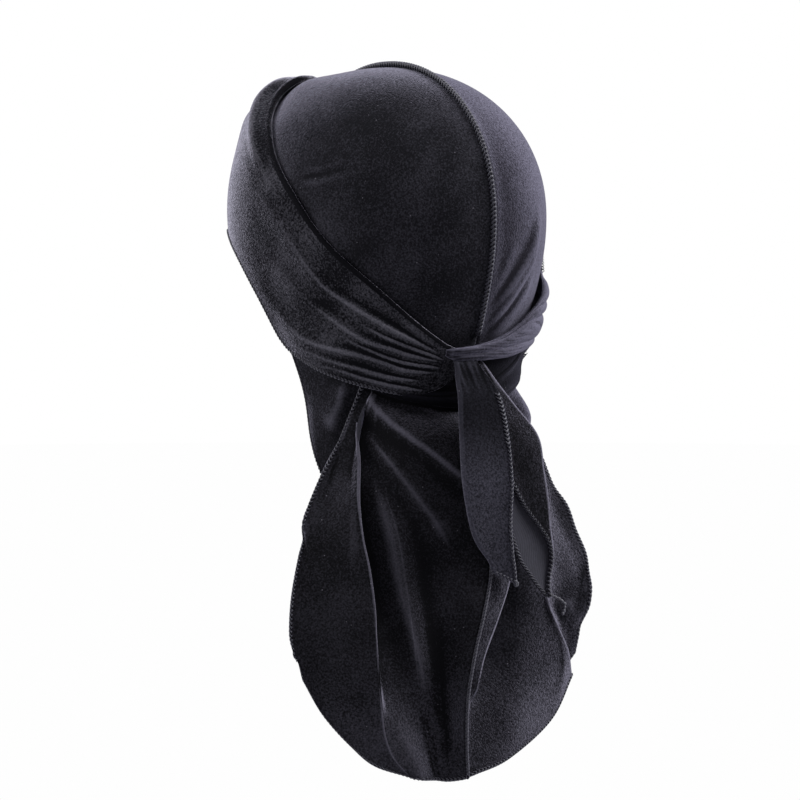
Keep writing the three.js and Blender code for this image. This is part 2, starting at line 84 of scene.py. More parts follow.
# %% Reading a table, and soft shapes
def read(table, place, column):
    """Read one column of a table at many places, on a smooth curve through its rows.
    The first column holds the places, in rising or falling order."""
    keys = np.array([row[0] for row in table], float)
    values = np.array([row[column] for row in table], float)
    if keys[0] > keys[-1]:
        keys, values = keys[::-1], values[::-1]
    slopes = np.empty_like(values)
    slopes[1:-1] = (values[2:] - values[:-2]) / (keys[2:] - keys[:-2])
    slopes[0] = (values[1] - values[0]) / (keys[1] - keys[0])
    slopes[-1] = (values[-1] - values[-2]) / (keys[-1] - keys[-2])
    place = np.clip(place, keys[0], keys[-1])
    row = np.clip(np.searchsorted(keys, place, side="right") - 1, 0, len(keys) - 2)
    span = keys[row + 1] - keys[row]
    s = (place - keys[row]) / span
    return ((1 + 2 * s) * (1 - s) ** 2 * values[row] + s * (1 - s) ** 2 * span * slopes[row]
            + s * s * (3 - 2 * s) * values[row + 1] + s * s * (s - 1) * span * slopes[row + 1])


def rise(value, start, end):
    """A soft rise from 0 to 1 as value goes from start to end, which may be in either order."""
    s = np.clip((value - start) / (end - start), 0, 1)
    return s * s * (3 - 2 * s)


def ridge(distance, width):
    """A rounded ridge, 1 on its crest."""
    return np.exp(-((distance / width) ** 2))


def uneven(distance, above, below, pinch=2.0):
    """A ridge with one slope wider than the other. A pinch of 2 is round, and nearer 1 it is sharp."""
    return np.exp(-(np.abs(distance) / np.where(distance > 0, above, below)) ** pinch)


def mix(start, end, share):
    """The value that lies a share of the way from start to end."""
    return start + (end - start) * share


print("a ridge 4 mm wide, 2 mm from its crest:", round(float(ridge(2, 4)), 2))

# %% [markdown]
# The head is a rounded box of a dome above its widest level, and narrows to the neck below it. This is
# the shape that the model's solids have, so the cloth lies where they are.

# %% Places on the head
# sizes of the head in millimetres; the scalp's arc from the widest level to the top is APEX long
HALF_WIDTH, FRONT_REACH, BACK_REACH, HEAD_TOP = 74, 88.5, 92.5, 76.5
FULLNESS, NECK_SHARE, NECK_DEPTH, APEX = 2.1, 0.68, 125, 126


def on_head(azimuth, level, lift):
    """Places on the head, or lifted off it. 0 degrees is the forehead and 90 the left ear."""
    turn = np.radians(azimuth)
    reach = np.where(np.cos(turn) > 0, FRONT_REACH, BACK_REACH)
    polar = np.radians(90 * (1 - np.maximum(level, 0) / APEX))
    spread = np.clip(np.sin(polar), 0, 1) ** (2 / FULLNESS)
    dome = (HEAD_TOP + lift) * np.clip(np.cos(polar), 0, 1) ** (2 / FULLNESS)
    drop = np.clip(-level / NECK_DEPTH, 0, 1)
    neck = mix(NECK_SHARE, 1, 0.5 + 0.5 * np.cos(np.pi * drop))
    x = (HALF_WIDTH * neck + lift) * spread * np.sin(turn)
    y = -(reach * neck + lift) * spread * np.cos(turn)
    z = np.where(level > 0, dome, level)
    return np.stack(np.broadcast_arrays(x, y, z), axis=-1)


def unit(vectors):
    """The same directions with length one."""
    length = np.linalg.norm(vectors, axis=-1, keepdims=True)
    return vectors / np.maximum(length, 1e-9)


print("head girth at the widest level, mm:",
      round(float(np.linalg.norm(np.diff(on_head(np.arange(0, 361), 0, 0), axis=0), axis=1).sum())))

# %% [markdown]
# ## Cloth with a thickness
# A sheet starts as a grid of points on its middle surface. It gets its thickness by moving the grid half a
# cloth out and half a cloth in, and its edges are closed with a rounded rim. Each point keeps its distances
# along the cloth as UV, so a knit or a brushed streak follows the cloth. It also keeps how sharply the
# cloth bends there, and from that the velvet paints a highlight on a crest and shade in a valley, partly
# for pile that stands open on a crest and is shut in a valley. A Solidify modifier could give the
# thickness, but it knows neither the rim nor these marks.

# %% How a grid lies and bends
BEND_GAIN, BEND_REST = 3.5, 0.12  # a bend gentler than the rest leaves no mark


def normals_of(grid):
    """The way out from a grid of points, also where the grid shrinks to a pole."""
    out = np.cross(np.gradient(grid, axis=0), np.gradient(grid, axis=1))
    for row in (0, -1):
        beside = 1 if row == 0 else -2
        if np.ptp(grid[:, row], axis=0).max() < 1e-6:
            out[:, row] = unit(unit(out[:, beside]).mean(axis=0))
    return unit(out)


def bending(grid, normals):
    """How the grid bends, about -1 in a tight valley and 1 on a tight crest."""
    total = np.zeros(grid.shape[:2])
    for axis in (0, 1):
        step = np.linalg.norm(np.gradient(grid, axis=axis), axis=-1) + 1e-6
        second = np.gradient(np.gradient(grid, axis=axis), axis=axis)
        total -= (second * normals).sum(axis=-1) / np.maximum(step, 0.3) ** 2
    total = np.clip(total * BEND_GAIN, -1, 1)
    return np.sign(total) * np.maximum(np.abs(total) - BEND_REST, 0)


def lengths_along(grid, axis):
    """Distance along the cloth from its first column or row, for every point of the grid."""
    step = np.linalg.norm(np.diff(grid, axis=axis), axis=-1)
    start = np.zeros_like(np.take(step, [0], axis=axis))
    return np.concatenate([start, np.cumsum(step, axis=axis)], axis=axis)


print("marks go from", -1 + BEND_REST, "in a valley to", 1 - BEND_REST, "on a crest")

# %% [markdown]
# Points and faces become an object here, for cloth and thread alike. The mesh gets its place in its own
# points, in metres, so the object itself stays at the origin, unturned and unscaled.

# %% A mesh object from points and faces
MM = 0.001


def object_from(name, points, faces, marks=None, uv=None, slots=None, materials=()):
    """A mesh object from points in millimetres, smooth, with UV and crest marks where given."""
    mesh = bpy.data.meshes.new(name)
    mesh.from_pydata((np.asarray(points) * MM).tolist(), [], np.asarray(faces).tolist())
    if uv is not None:
        corner = np.empty(len(mesh.loops), dtype=np.int32)
        mesh.loops.foreach_get("vertex_index", corner)
        layer = mesh.uv_layers.new(name="cloth")
        layer.data.foreach_set("uv", (np.asarray(uv)[corner] * MM).astype(np.float32).ravel())
    if marks is not None:
        crest = mesh.attributes.new("crest", "FLOAT", "POINT")
        crest.data.foreach_set("value", np.asarray(marks, dtype=np.float32))
    for material in materials:
        mesh.materials.append(material)
    if slots is not None:
        mesh.polygons.foreach_set("material_index", np.asarray(slots, dtype=np.int32))
    mesh.polygons.foreach_set("use_smooth", np.ones(len(mesh.polygons), dtype=bool))
    mesh.validate()
    mesh.update()
    piece = bpy.data.objects.new(name, mesh)
    bpy.context.scene.collection.objects.link(piece)
    return piece


print("points are in millimetres, meshes in metres:", MM)

# %% [markdown]
# Now the sheet itself: a front, a back and a rim that closes them. Velvet is thick for a cloth, because
# its pile stands up from the ground, and a rounded rim is what makes an edge look soft.

# %% A closed sheet of cloth
CLOTH = 1.3  # millimetres of velvet, ground and pile
RESTING = 0.2 + CLOTH / 2  # lift of a cloth's middle where it rests on the scalp
RIM_ROUND = 0.35  # how far a rim stands out, as a share of the thickness
UNDER_EDGE_SHADE = -0.8  # the mark that paints shade on cloth turned under an edge


def signed_volume(points, faces):
    """The volume inside closed quads, which is negative if they point inwards."""
    a, b, c, d = (points[faces[:, k]] for k in range(4))
    return float((np.cross(a, b) * c).sum() + (np.cross(a, c) * d).sum()) / 6


def cloth(name, grid, materials, straight=None, thickness=CLOTH, flip=False, shaded_rows=0):
    """A closed sheet about a grid of middle points. Returns the object and its two faces.
    straight is a column and the one way that its normals point, so that two panels meet squarely.
    The last argument is how many of the first rows get painted shade, where they turn under an edge."""
    normals = normals_of(grid) * (-1 if flip else 1)
    if straight is not None:
        column, way = straight
        normals[column] = way
    front = grid + normals * thickness / 2
    back = grid - normals * thickness / 2
    columns, rows = grid.shape[:2]
    index = np.arange(columns * rows).reshape(columns, rows)
    quads = np.stack([index[:-1, :-1], index[1:, :-1], index[1:, 1:], index[:-1, 1:]], -1).reshape(-1, 4)
    ring = np.concatenate([index[:, 0], index[-1, 1:], index[-2::-1, -1], index[0, -2:0:-1]])
    inside = np.concatenate([index[:, 1], index[-2, 1:], index[-2::-1, -2], index[1, -2:0:-1]])
    flat_front, flat_back = front.reshape(-1, 3), back.reshape(-1, 3)
    middle = (flat_front[ring] + flat_back[ring]) / 2
    rim = middle + unit(middle - (flat_front[inside] + flat_back[inside]) / 2) * thickness * RIM_ROUND
    if np.ptp(grid[:, 0], axis=0).max() < 1e-6:
        rim[:columns] = middle[:columns].mean(axis=0)
    count = columns * rows
    points = np.concatenate([flat_front, flat_back, rim])
    following = np.roll(ring, -1)
    rim_index = 2 * count + np.arange(len(ring))
    rim_next = np.roll(rim_index, -1)
    faces = np.concatenate([
        quads, quads[:, ::-1] + count,
        np.stack([following, ring, rim_index, rim_next], -1),
        np.stack([rim_next, rim_index, ring + count, following + count], -1)])
    slots = np.zeros(len(faces), dtype=int)
    slots[len(quads):2 * len(quads)] = min(1, len(materials) - 1)
    if signed_volume(points, faces) < 0:
        faces = faces[:, ::-1]
    bend = bending(grid, normals)
    bend[:, :shaded_rows] = UNDER_EDGE_SHADE
    bend = bend.reshape(-1)
    uv = np.stack([lengths_along(grid, 0), lengths_along(grid, 1)], -1).reshape(-1, 2)
    piece = object_from(name, points, faces, np.concatenate([bend, -bend, bend[ring]]),
                        np.concatenate([uv, uv, uv[ring]]), slots, materials)
    work = bmesh.new()
    work.from_mesh(piece.data)
    bmesh.ops.remove_doubles(work, verts=work.verts, dist=1e-7)
    loose = [edge for edge in work.edges if edge.is_boundary]
    work.to_mesh(piece.data)
    work.free()
    crossed = np.cross(grid[1:, 1:] - grid[:-1, :-1], grid[1:, :-1] - grid[:-1, 1:])
    cut = np.linalg.norm(crossed, axis=-1).sum() / 2 * MM ** 2
    print(f"{name}: {len(piece.data.polygons)} faces, {cut * 1e4:.0f} square cm, open edges {len(loose)}")
    piece["cut_area"] = float(cut)
    return piece, front, back


print("cloth", CLOTH, "mm thick, resting", RESTING, "mm off the scalp")

# %% [markdown]
# ## Materials
# Velvet has a short, dense pile on a knit ground. The pile swallows light when it is looked into and gives
# it back at a grazing angle. The shader's sheen does a little of that, and a painted sheen in the colour,
# lighter the more edge-on the cloth is to the view, does most of it. Colours are given as sRGB hex values
# and turned to linear by one function, and one small function adds a node. Nodes could be laid by hand in
# the shader editor; in code the same tree serves every panel with its own shade.

# %% Colours and nodes
def linear(code):
    """An sRGB hex colour as the linear numbers that a shader wants."""
    parts = [int(code[i:i + 2], 16) / 255 for i in (1, 3, 5)]
    return tuple(p / 12.92 if p <= 0.04045 else ((p + 0.055) / 1.055) ** 2.4 for p in parts) + (1,)


def add(tree, kind, settings, **links):
    """Add a node, set its settings and inputs, and link the inputs that are given as sockets.
    An input with a shared name goes by its number: 6 and 7 are the two colours of a Mix node."""
    node = tree.nodes.new("ShaderNode" + kind)
    for key, value in settings.items():
        if isinstance(key, str) and hasattr(node, key):
            setattr(node, key, value)
        else:
            node.inputs[key].default_value = value
    for key, socket in links.items():
        name = int(key[1:]) if key[0] == "i" and key[1:].isdigit() else key.replace("_", " ")
        tree.links.new(socket, node.inputs[name])
    return node


def new_material(name):
    """An empty material, its node tree and its output node."""
    material = bpy.data.materials.new(name)
    material.use_nodes = True
    tree = material.node_tree
    tree.nodes.clear()
    return material, tree, add(tree, "OutputMaterial", {})


print("near black, as the shader takes it:", [round(part, 4) for part in linear("#121215")])

# %% [markdown]
# The velvet's colour is almost black where one looks straight into the pile, and a painted sheen turns it a
# greyed lavender at a grazing angle, glittering with the grain. Four patterns vary it: the pile's own
# grain, drawn at 1 mm because single fibres are far too fine to show, broad patches of 30 mm where a hand
# brushed the pile the other way, the crest mark, which paints a highlight on a crest and shade in a valley,
# partly for pile that opens on a fold and shows its lighter roots, and a few specks of lint 0.2 mm wide.
# The right half is lighter, partly because panels cut with the pile the other way look lighter, and partly
# as painted light from the lamp on that side. A hair system could give real pile, but at this distance its
# fibres are finer than a render can show.

# %% Stretch velvet
GRAIN, PATCH, LINT = 0.0010, 0.03, 0.0065  # metres across a tuft, a brushed patch, and between specks


def velvet(name, shade, light, glance, crest_light, paler_below=None):
    """Black stretch velvet, knitted, cut and brushed: a soft black with a grazing sheen, mostly painted
    into its colour. glance says how edge-on the cloth is where the painted sheen starts and where it is
    full, crest_light how much painted highlight a crest gets and how much painted shade a valley gets, and
    the last argument gives the height where the colour starts to grow paler downwards, where it is palest,
    and how much."""
    material, tree, output = new_material(name)
    place = add(tree, "TexCoord", {})
    grain = add(tree, "TexNoise", {"Scale": 1 / GRAIN, "Detail": 3.0, "Roughness": 0.7},
                Vector=place.outputs["Object"])
    patch = add(tree, "TexNoise", {"Scale": 1 / PATCH, "Detail": 3.0, "Roughness": 0.5},
                Vector=place.outputs["Object"])
    crest = add(tree, "Attribute", {"attribute_name": "crest"})
    bump = add(tree, "Bump", {"Strength": 0.7, "Distance": 0.0005}, Height=grain.outputs["Fac"])
    # painted sheen: the colour grows lighter the more edge-on the cloth is to the view, and the grain makes
    # it glitter
    edge_on = add(tree, "LayerWeight", {"Blend": 0.5}, Normal=bump.outputs[0])
    sparkle = add(tree, "MapRange", {"From Min": 0.36, "From Max": 0.66, "To Min": 0.4, "To Max": 1.6},
                  Value=grain.outputs["Fac"])
    painted_sheen = add(tree, "MapRange", {"interpolation_type": "SMOOTHSTEP", "From Min": glance[0],
                                        "From Max": glance[1], "To Min": 0.0},
                     Value=edge_on.outputs["Facing"], To_Max=sparkle.outputs[0])
    grain_part = add(tree, "MapRange", {"From Min": 0.35, "From Max": 0.7, "To Min": -0.05,
                                        "To Max": 0.11}, Value=grain.outputs["Fac"])
    patch_part = add(tree, "MapRange", {"From Min": 0.3, "From Max": 0.7, "To Min": -0.03,
                                        "To Max": 0.06}, Value=patch.outputs["Fac"])
    # painted highlight on crests and painted shade in valleys, from the crest mark
    crest_highlight_and_shade = add(tree, "MapRange", {"From Min": -0.9, "From Max": 0.9, "To Min": -crest_light,
                                        "To Max": crest_light}, Value=crest.outputs["Fac"])
    parts = [grain_part, patch_part, crest_highlight_and_shade]
    # the colour grows paler downwards from the given height
    if paler_below:
        split = add(tree, "SeparateXYZ", {}, Vector=place.outputs["Object"])
        paler_part = add(tree, "MapRange", {"interpolation_type": "SMOOTHSTEP", "From Min": paler_below[0],
                                      "From Max": paler_below[1], "To Min": 0.0},
                   Value=split.outputs["Z"], To_Max=sparkle.outputs[0])
        parts.append(add(tree, "Math", {"operation": "MULTIPLY", 1: paler_below[2]}, i0=paler_part.outputs[0]))
    total = parts[0]
    for part in parts[1:] + [painted_sheen]:
        total = add(tree, "Math", {"operation": "ADD", "use_clamp": part is painted_sheen},
                    i0=total.outputs[0], i1=part.outputs[0])
    colour = add(tree, "Mix", {"data_type": "RGBA", 6: linear(shade), 7: linear(light)},
                 i0=total.outputs[0])
    lint = add(tree, "TexVoronoi", {"Scale": 1 / LINT}, Vector=place.outputs["Object"])
    speck = add(tree, "MapRange", {"From Min": 0.030, "From Max": 0.055, "To Min": 0.5, "To Max": 0.0},
                Value=lint.outputs["Distance"])
    with_lint = add(tree, "Mix", {"data_type": "RGBA", 7: linear("#77747d")}, i0=speck.outputs[0],
                    i6=colour.outputs[2])
    shader = add(tree, "BsdfPrincipled",
                 {"Roughness": 0.9, "Specular IOR Level": 0.02, "Sheen Weight": 0.10,
                  "Sheen Roughness": 0.3, "Sheen Tint": linear("#c9c7e0")},
                 Base_Color=with_lint.outputs[2], Normal=bump.outputs[0])
    tree.links.new(shader.outputs[0], output.inputs[0])
    return material


print("velvet grain", GRAIN * 1000, "mm, patches", PATCH * 1000, "mm, lint every", LINT * 1000, "mm")

# %% [markdown]
# The same cloth looks different by the way its pile lies. The crown's left half and the left tie are
# brushed down and stay dark until they turn edge-on, where their painted sheen begins. The right halves are
# brushed up and take the painted sheen all over; their lighter copies stand partly for that pile and partly
# for painted light from the lamp on their side. The nape wrap's copy is darker as painted shade, for the
# strap's shadow over it. The cape grows paler towards its foot and the tie's end towards its tip.

# %% Velvet brushed each way, with painted light and shade
velvet_crown = velvet("stretch_velvet_crown", "#121215", "#716f7c", (0.51, 1.0), 0.25)
velvet_tie = velvet("stretch_velvet_tie", "#0c0c0f", "#9a98a5", (0.56, 1.0), 0.14)
# the cape grows paler towards its foot
velvet_cape = velvet("stretch_velvet_cape", "#0e0e10", "#64626e", (0.20, 0.90), 0.38,
                     paler_below=(-0.205, -0.260, 0.10))
# lighter copies for the right halves: partly pile brushed up, partly painted light from the lamp on that
# side
velvet_light = velvet("stretch_velvet_brushed_up_with_painted_light", "#19181d", "#5d5b69", (0.20, 0.97), 0.36)
velvet_cape_light = velvet("stretch_velvet_cape_brushed_up_with_painted_light", "#0c0c0f", "#65636f", (0.15, 0.86), 0.25)
# a darker copy for the nape wrap, as painted shade for the strap's shadow over it
velvet_wrap = velvet("stretch_velvet_wrap_painted_shade", "#0c0c0f", "#25242c", (0.40, 1.0), 0.22)
# the tie's end grows paler towards its tip
velvet_end = velvet("stretch_velvet_end_paler_at_tip", "#0c0c0f", "#4a4954", (0.48, 1.0), 0.20,
                    paler_below=(-0.095, -0.135, 0.29))
print("velvets:", *[m.name for m in (velvet_crown, velvet_tie, velvet_cape, velvet_light,
                                     velvet_cape_light, velvet_wrap, velvet_end)])

# %% [markdown]
# The wrong side of the velvet is a plain warp knit. It is matt, a little lighter and bluer, and shows
# fine ribs along the cloth. Real ribs are 0.6 mm apart; they are drawn 1.2 mm apart so that they show.
# They follow the cloth's own UV, and would slide across a fold on any other coordinates. The thread is
# spun polyester, with a fine twist and a soft glint on each loop.

# %% Knit back and overlock thread
RIB, TWIST = 0.0012, 0.0005  # metres from rib to rib, and across a ply of the thread
WAVES = 0.314  # a Wave node of this scale has one band to a metre


def knit_back(name):
    """Warp knit, not raised: matt, and finely ribbed along the cloth."""
    material, tree, output = new_material(name)
    place = add(tree, "TexCoord", {})
    ribs = add(tree, "TexWave", {"bands_direction": "X", "Scale": WAVES / RIB, "Distortion": 0.6,
                                 "Detail": 1.0, "Detail Scale": 2.0}, Vector=place.outputs["UV"])
    fuzz = add(tree, "TexNoise", {"Scale": 1 / 0.0016, "Detail": 2.0}, Vector=place.outputs["Object"])
    height = add(tree, "Math", {"operation": "ADD"}, i0=ribs.outputs["Fac"], i1=fuzz.outputs["Fac"])
    colour = add(tree, "Mix", {"data_type": "RGBA", 6: linear("#111116"), 7: linear("#23222b")},
                 i0=fuzz.outputs["Fac"])
    bump = add(tree, "Bump", {"Strength": 0.15, "Distance": 0.0003}, Height=height.outputs[0])
    shader = add(tree, "BsdfPrincipled",
                 {"Roughness": 0.8, "Specular IOR Level": 0.25, "Sheen Weight": 0.25,
                  "Sheen Roughness": 0.5, "Sheen Tint": linear("#b9b7d6")},
                 Base_Color=colour.outputs[2], Normal=bump.outputs[0])
    tree.links.new(shader.outputs[0], output.inputs[0])
    return material


def overlock_thread(name):
    """Textured polyester thread, spun soft: small soft glints on each loop."""
    material, tree, output = new_material(name)
    place = add(tree, "TexCoord", {})
    ply = add(tree, "TexNoise", {"Scale": 1 / TWIST, "Detail": 1.0}, Vector=place.outputs["Object"])
    colour = add(tree, "Mix", {"data_type": "RGBA", 6: linear("#15151a"), 7: linear("#3c3b46")},
                 i0=ply.outputs["Fac"])
    bump = add(tree, "Bump", {"Strength": 0.4, "Distance": 0.0002}, Height=ply.outputs["Fac"])
    shader = add(tree, "BsdfPrincipled",
                 {"Roughness": 0.5, "Specular IOR Level": 0.45, "Sheen Weight": 0.25,
                  "Sheen Roughness": 0.4, "Sheen Tint": linear("#c9c7e0")},
                 Base_Color=colour.outputs[2], Normal=bump.outputs[0])
    tree.links.new(shader.outputs[0], output.inputs[0])
    return material


knit = knit_back("warp_knit_back")
thread = overlock_thread("polyester_overlock_thread")
print("knit and thread:", knit.name, thread.name)

# %% [markdown]
# ## Overlocked edges
# Each cut edge is overlocked: loops of thread wrap the raw edge every two millimetres or so, slanted,
# with a chain along the edge itself. One loop is a short bent tube with few faces, and it is repeated
# along the edge. On the real piece the thread is about 0.4 mm thick; it is drawn fuller, as it looks
# once it has sprung open. A modelled loop in an array on a curve would do the same, but loops made
# all at once in code turn with the edge and stay one light mesh.

# %% Overlock stitches
PITCH = 2.1  # millimetres from loop to loop
LOOP_WIDE, LOOP_THICK = 0.50, 0.38  # half sizes of the thread, sprung open


def tubes(centres, across, outward, half_wide, half_thick, sides=6):
    """Many short closed tubes at once, from centres[piece, ring] and two ways across them."""
    turn = np.linspace(0, 2 * np.pi, sides, endpoint=False)
    ring = (np.cos(turn)[:, None] * half_wide[..., None, None] * across[:, :, None, :]
            + np.sin(turn)[:, None] * half_thick[..., None, None] * outward[:, :, None, :])
    points = centres[:, :, None, :] + ring
    pieces, rings = centres.shape[:2]
    index = np.arange(pieces * rings * sides).reshape(pieces, rings, sides)
    after = np.roll(index, -1, axis=2)
    walls = np.stack([index[:, :-1], after[:, :-1], after[:, 1:], index[:, 1:]], -1).reshape(-1, 4)
    return points.reshape(-1, 3), walls


def along_path(points, values, places):
    """Values at places along a path, measured by its length."""
    length = lengths_along(points[:, None, :], 0)[:, 0]
    return np.stack([np.interp(places, length, values[:, k]) for k in range(values.shape[1])], -1)


def serge_parts(edge, inward, face, width, pitch=PITCH, thick=CLOTH, fullness=1.0):
    """Loops over an edge: points and quads. The edge runs along its middle, inward points into the
    cloth and face out of its front. A loop reaches width into the cloth."""
    total = lengths_along(edge[:, None, :], 0)[-1, 0]
    count = max(3, int(round(total / pitch)))
    starts = (np.arange(count) + 0.3) * total / count
    # nine places along one loop: in from the edge, height over the middle, and ahead along the edge.
    # It leaves the needle line, slants out over the edge, turns and comes back below
    depth = width * np.array([1.0, 0.72, 0.42, 0.12, -0.10, -0.06, 0.25, 0.6, 0.95])
    stand = (thick / 2 + 0.32) * np.array([0.6, 1.12, 1.15, 0.95, 0.3, -0.6, -1.0, -1.0, -0.7])
    ahead = pitch * np.array([-0.35, 0.12, 0.42, 0.12, -0.2, -0.3, 0.0, 0.3, 0.5])
    turning = np.radians([20, 5, 0, 30, 90, 130, 180, 180, 180])
    centres, across, outward = [], [], []
    for inside, height, forward, turn in zip(depth, stand, ahead, turning):
        place = starts + forward
        middle = along_path(edge, edge, place)
        way_in = unit(along_path(edge, inward, place))
        way_out = unit(along_path(edge, face, place))
        centres.append(middle + way_in * inside + way_out * height)
        across.append(unit(along_path(edge, edge, place + 0.2) - along_path(edge, edge, place - 0.2)))
        outward.append(unit(way_out * math.cos(turn) - way_in * math.sin(turn)))
    ends = np.interp(np.linspace(0, 1, 9), [0, 0.12, 0.88, 1], [0.25, 1, 1, 0.25])
    wide = np.broadcast_to(ends * LOOP_WIDE * fullness, (count, 9))
    thin = np.broadcast_to(ends * LOOP_THICK * fullness, (count, 9))
    loops = tubes(np.stack(centres, 1), np.stack(across, 1), np.stack(outward, 1), wide, thin)
    # the lower thread fills the space between loops, with a ring to every millimetre
    steps = max(8, int(total))
    place = np.linspace(0, total, steps)
    middle = along_path(edge, edge, place)
    way_in = unit(along_path(edge, inward, place))
    way_out = unit(along_path(edge, face, place))
    chain = tubes((middle + way_in * 0.1)[None], -way_in[None], way_out[None],
                  np.full((1, steps), 0.35), np.full((1, steps), thick / 2 + 0.02), sides=8)
    return [loops, chain]


print("overlock: loops every", PITCH, "mm, thread", 2 * LOOP_THICK, "mm thick")

# %% [markdown]
# A piece is finished by hiding the plain sheet of the model that it stands for and letting it ride on the
# durag, and a cloth keeps how large it was cut. Runs of stitches on one panel are joined into one piece, as
# they are one thread.

# %% Finishing a piece, and running a line of stitches
def finish_piece(piece, node):
    """Let a piece stand for its CAD node, which is hidden, and ride on the durag."""
    if node:
        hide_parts(node)
    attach(piece, "root")


def thread_piece(name, parts):
    """One finished piece of thread, from tubes whose ends are closed here."""
    points, faces, start = [], [], 0
    for some, quads in parts:
        points.append(some)
        faces.append(quads + start)
        start += len(some)
    piece = object_from(name, np.concatenate(points), np.concatenate(faces), materials=[thread])
    work = bmesh.new()
    work.from_mesh(piece.data)
    bmesh.ops.holes_fill(work, edges=[e for e in work.edges if e.is_boundary], sides=8)
    bmesh.ops.recalc_face_normals(work, faces=work.faces)
    for face in work.faces:
        face.smooth = True
    work.to_mesh(piece.data)
    work.free()
    print(f"{name}: {len(piece.data.polygons)} faces")
    finish_piece(piece, None)


def serge(name, *runs):
    """Overlock several edges as one piece. A run holds what serge_parts asks for, in its order."""
    parts = []
    for run in runs:
        parts += serge_parts(*run)
    thread_piece(name, parts)


def edge_run(front, back, side, start=0.0, end=1.0, width=2.3):
    """The run along one side of a sheet, between two shares of its length.
    side is top, bottom, first or last."""
    pick = {"top": np.s_[:, 0], "bottom": np.s_[:, -1], "first": np.s_[0, :], "last": np.s_[-1, :]}[side]
    beside = {"top": np.s_[:, 3], "bottom": np.s_[:, -4], "first": np.s_[3, :], "last": np.s_[-4, :]}[side]
    edge = (front[pick] + back[pick]) / 2
    inward = unit((front[beside] + back[beside]) / 2 - edge)
    face = unit(front[pick] - back[pick])
    count = len(edge)
    keep = slice(int(start * (count - 1)), int(end * (count - 1)) + 1)
    return edge[keep], inward[keep], face[keep], width


print("finish of every thread:", thread.name)

# %% [markdown]
# ## Creases
# A crease is a path on the cloth, and it lifts or sinks the cloth near it. It could be sculpted by hand
# with a brush; a path with a height and two slopes says the same in one line, and can be moved.

# %% Creases
SCALP_MM = 1.48  # millimetres to a degree, round the head


def crease(place, path, height, above, below, ends=(0.3, 0.3), pinch=2.0):
    """The lift that one crease gives: place and path are points on the spread cloth, in millimetres.
    The two slopes are given as widths, each at the path's start and end."""
    rows = [(k, *point) for k, point in enumerate(path)]
    fine = np.linspace(0, len(path) - 1, 3 * len(path) - 2)
    line = np.stack([read(rows, fine, 1), read(rows, fine, 2)], -1)
    lengths = np.linalg.norm(np.diff(line, axis=0), axis=1)
    total, done = lengths.sum(), 0.0
    best = np.full(place.shape[:-1], 1e9)
    aside, share = np.zeros_like(best), np.zeros_like(best)
    for k in range(len(lengths)):
        way = (line[k + 1] - line[k]) / lengths[k]
        reach = place - line[k]
        along = np.clip((reach * way).sum(-1), 0, lengths[k])
        gap = np.linalg.norm(reach - along[..., None] * way, axis=-1)
        side = np.sign(reach[..., 1] * way[0] - reach[..., 0] * way[1])
        near = gap < best
        best = np.where(near, gap, best)
        aside = np.where(near, side * gap, aside)
        share = np.where(near, (done + along) / total, share)
        done += lengths[k]
    taper = rise(share, 0, ends[0]) * rise(share, 1, 1 - ends[1])
    above, below = mix(above[0], above[1], share), mix(below[0], below[1], share)
    return height * taper * uneven(aside, above, below, pinch)


def creases_on_head(azimuth, level, creases, ends=(0.3, 0.3), pinch=2.0):
    """All creases of a piece that lies on the head; their paths are in azimuth and level."""
    place = np.stack(np.broadcast_arrays(azimuth * SCALP_MM, level), -1)
    lift = 0
    for path, height, above, below in creases:
        lift = lift + crease(place, np.array(path) * [SCALP_MM, 1], height, above, below, ends, pinch)
    return lift


print("one degree round the head is", SCALP_MM, "mm")

# %% [markdown]
# ## Crown
# Each half of the crown is one panel stretched over the head, from the top seam to the brow, the ear
# and a lobe behind the ear. It is smooth but for a pinch high on the left panel, two soft pulls near
# the tie, and a fan of pulls where the knot gathers the right panel. A half ball cut and scaled would
# give the dome, but neither the lobe nor the way the back runs down to the nape.

# %% Crown panels
# azimuth and level of the crown's lower edge, from the brow over the ear and the lobe to the nape
CROWN_EDGE = [(0, 1), (35, 1), (60, -5), (76, -19), (85, -38), (92, -62), (97, -92), (103, -118),
              (111, -136), (121, -143), (136, -134), (155, -114), (180, -104)]
# each crease: its path, its height, and the widths of its upper and lower slopes at start and end
LEFT_CREASES = [
    ([(104, 20.5), (114, 21.5), (123, 24), (129, 23)], -0.7, (1.2, 1.2), (1.8, 1.8)),
    ([(104, 17.5), (114, 18.5), (122, 21), (130, 20.5)], 0.25, (2.0, 2.0), (4.0, 4.0)),
    ([(121, -78), (118, -94), (112, -110)], 3.0, (7.0, 8.0), (7.0, 8.0)),
    ([(113, 2), (116, -8), (119, -20), (124, -31)], 0.9, (2.4, 2.0), (3.0, 2.4)),
    ([(118, 0), (121, -12), (125, -24), (130, -34)], 0.6, (2.4, 2.0), (3.0, 2.4)),
    ([(180, -80), (180, -30), (180, 30), (180, 100)], 1.6, (4.5, 4.0), (4.5, 4.0))]
RIGHT_CREASES = [
    ([(183, -50), (191, -36), (199, -22), (206, -8), (211, 8)], 2.8, (1.5, 3.8), (2.6, 4.4)),
    ([(183, -57), (190, -46), (198, -33), (205, -20), (210, -6)], 2.7, (1.5, 3.8), (1.8, 4.0)),
    ([(183, -61), (190, -55), (197, -47), (204, -36), (210, -24)], 2.0, (1.0, 3.0), (5.0, 6.0)),
    ([(180, -80), (180, -30), (180, 30), (180, 100)], 1.6, (4.5, 4.0), (4.5, 4.0)),
    ([(182, -40), (188, -24), (193, -8)], 0.8, (1.8, 3.0), (2.0, 3.0)),
    ([(186, -60), (193, -56), (200, -50)], 0.8, (0.8, 1.0), (1.5, 2.0))]


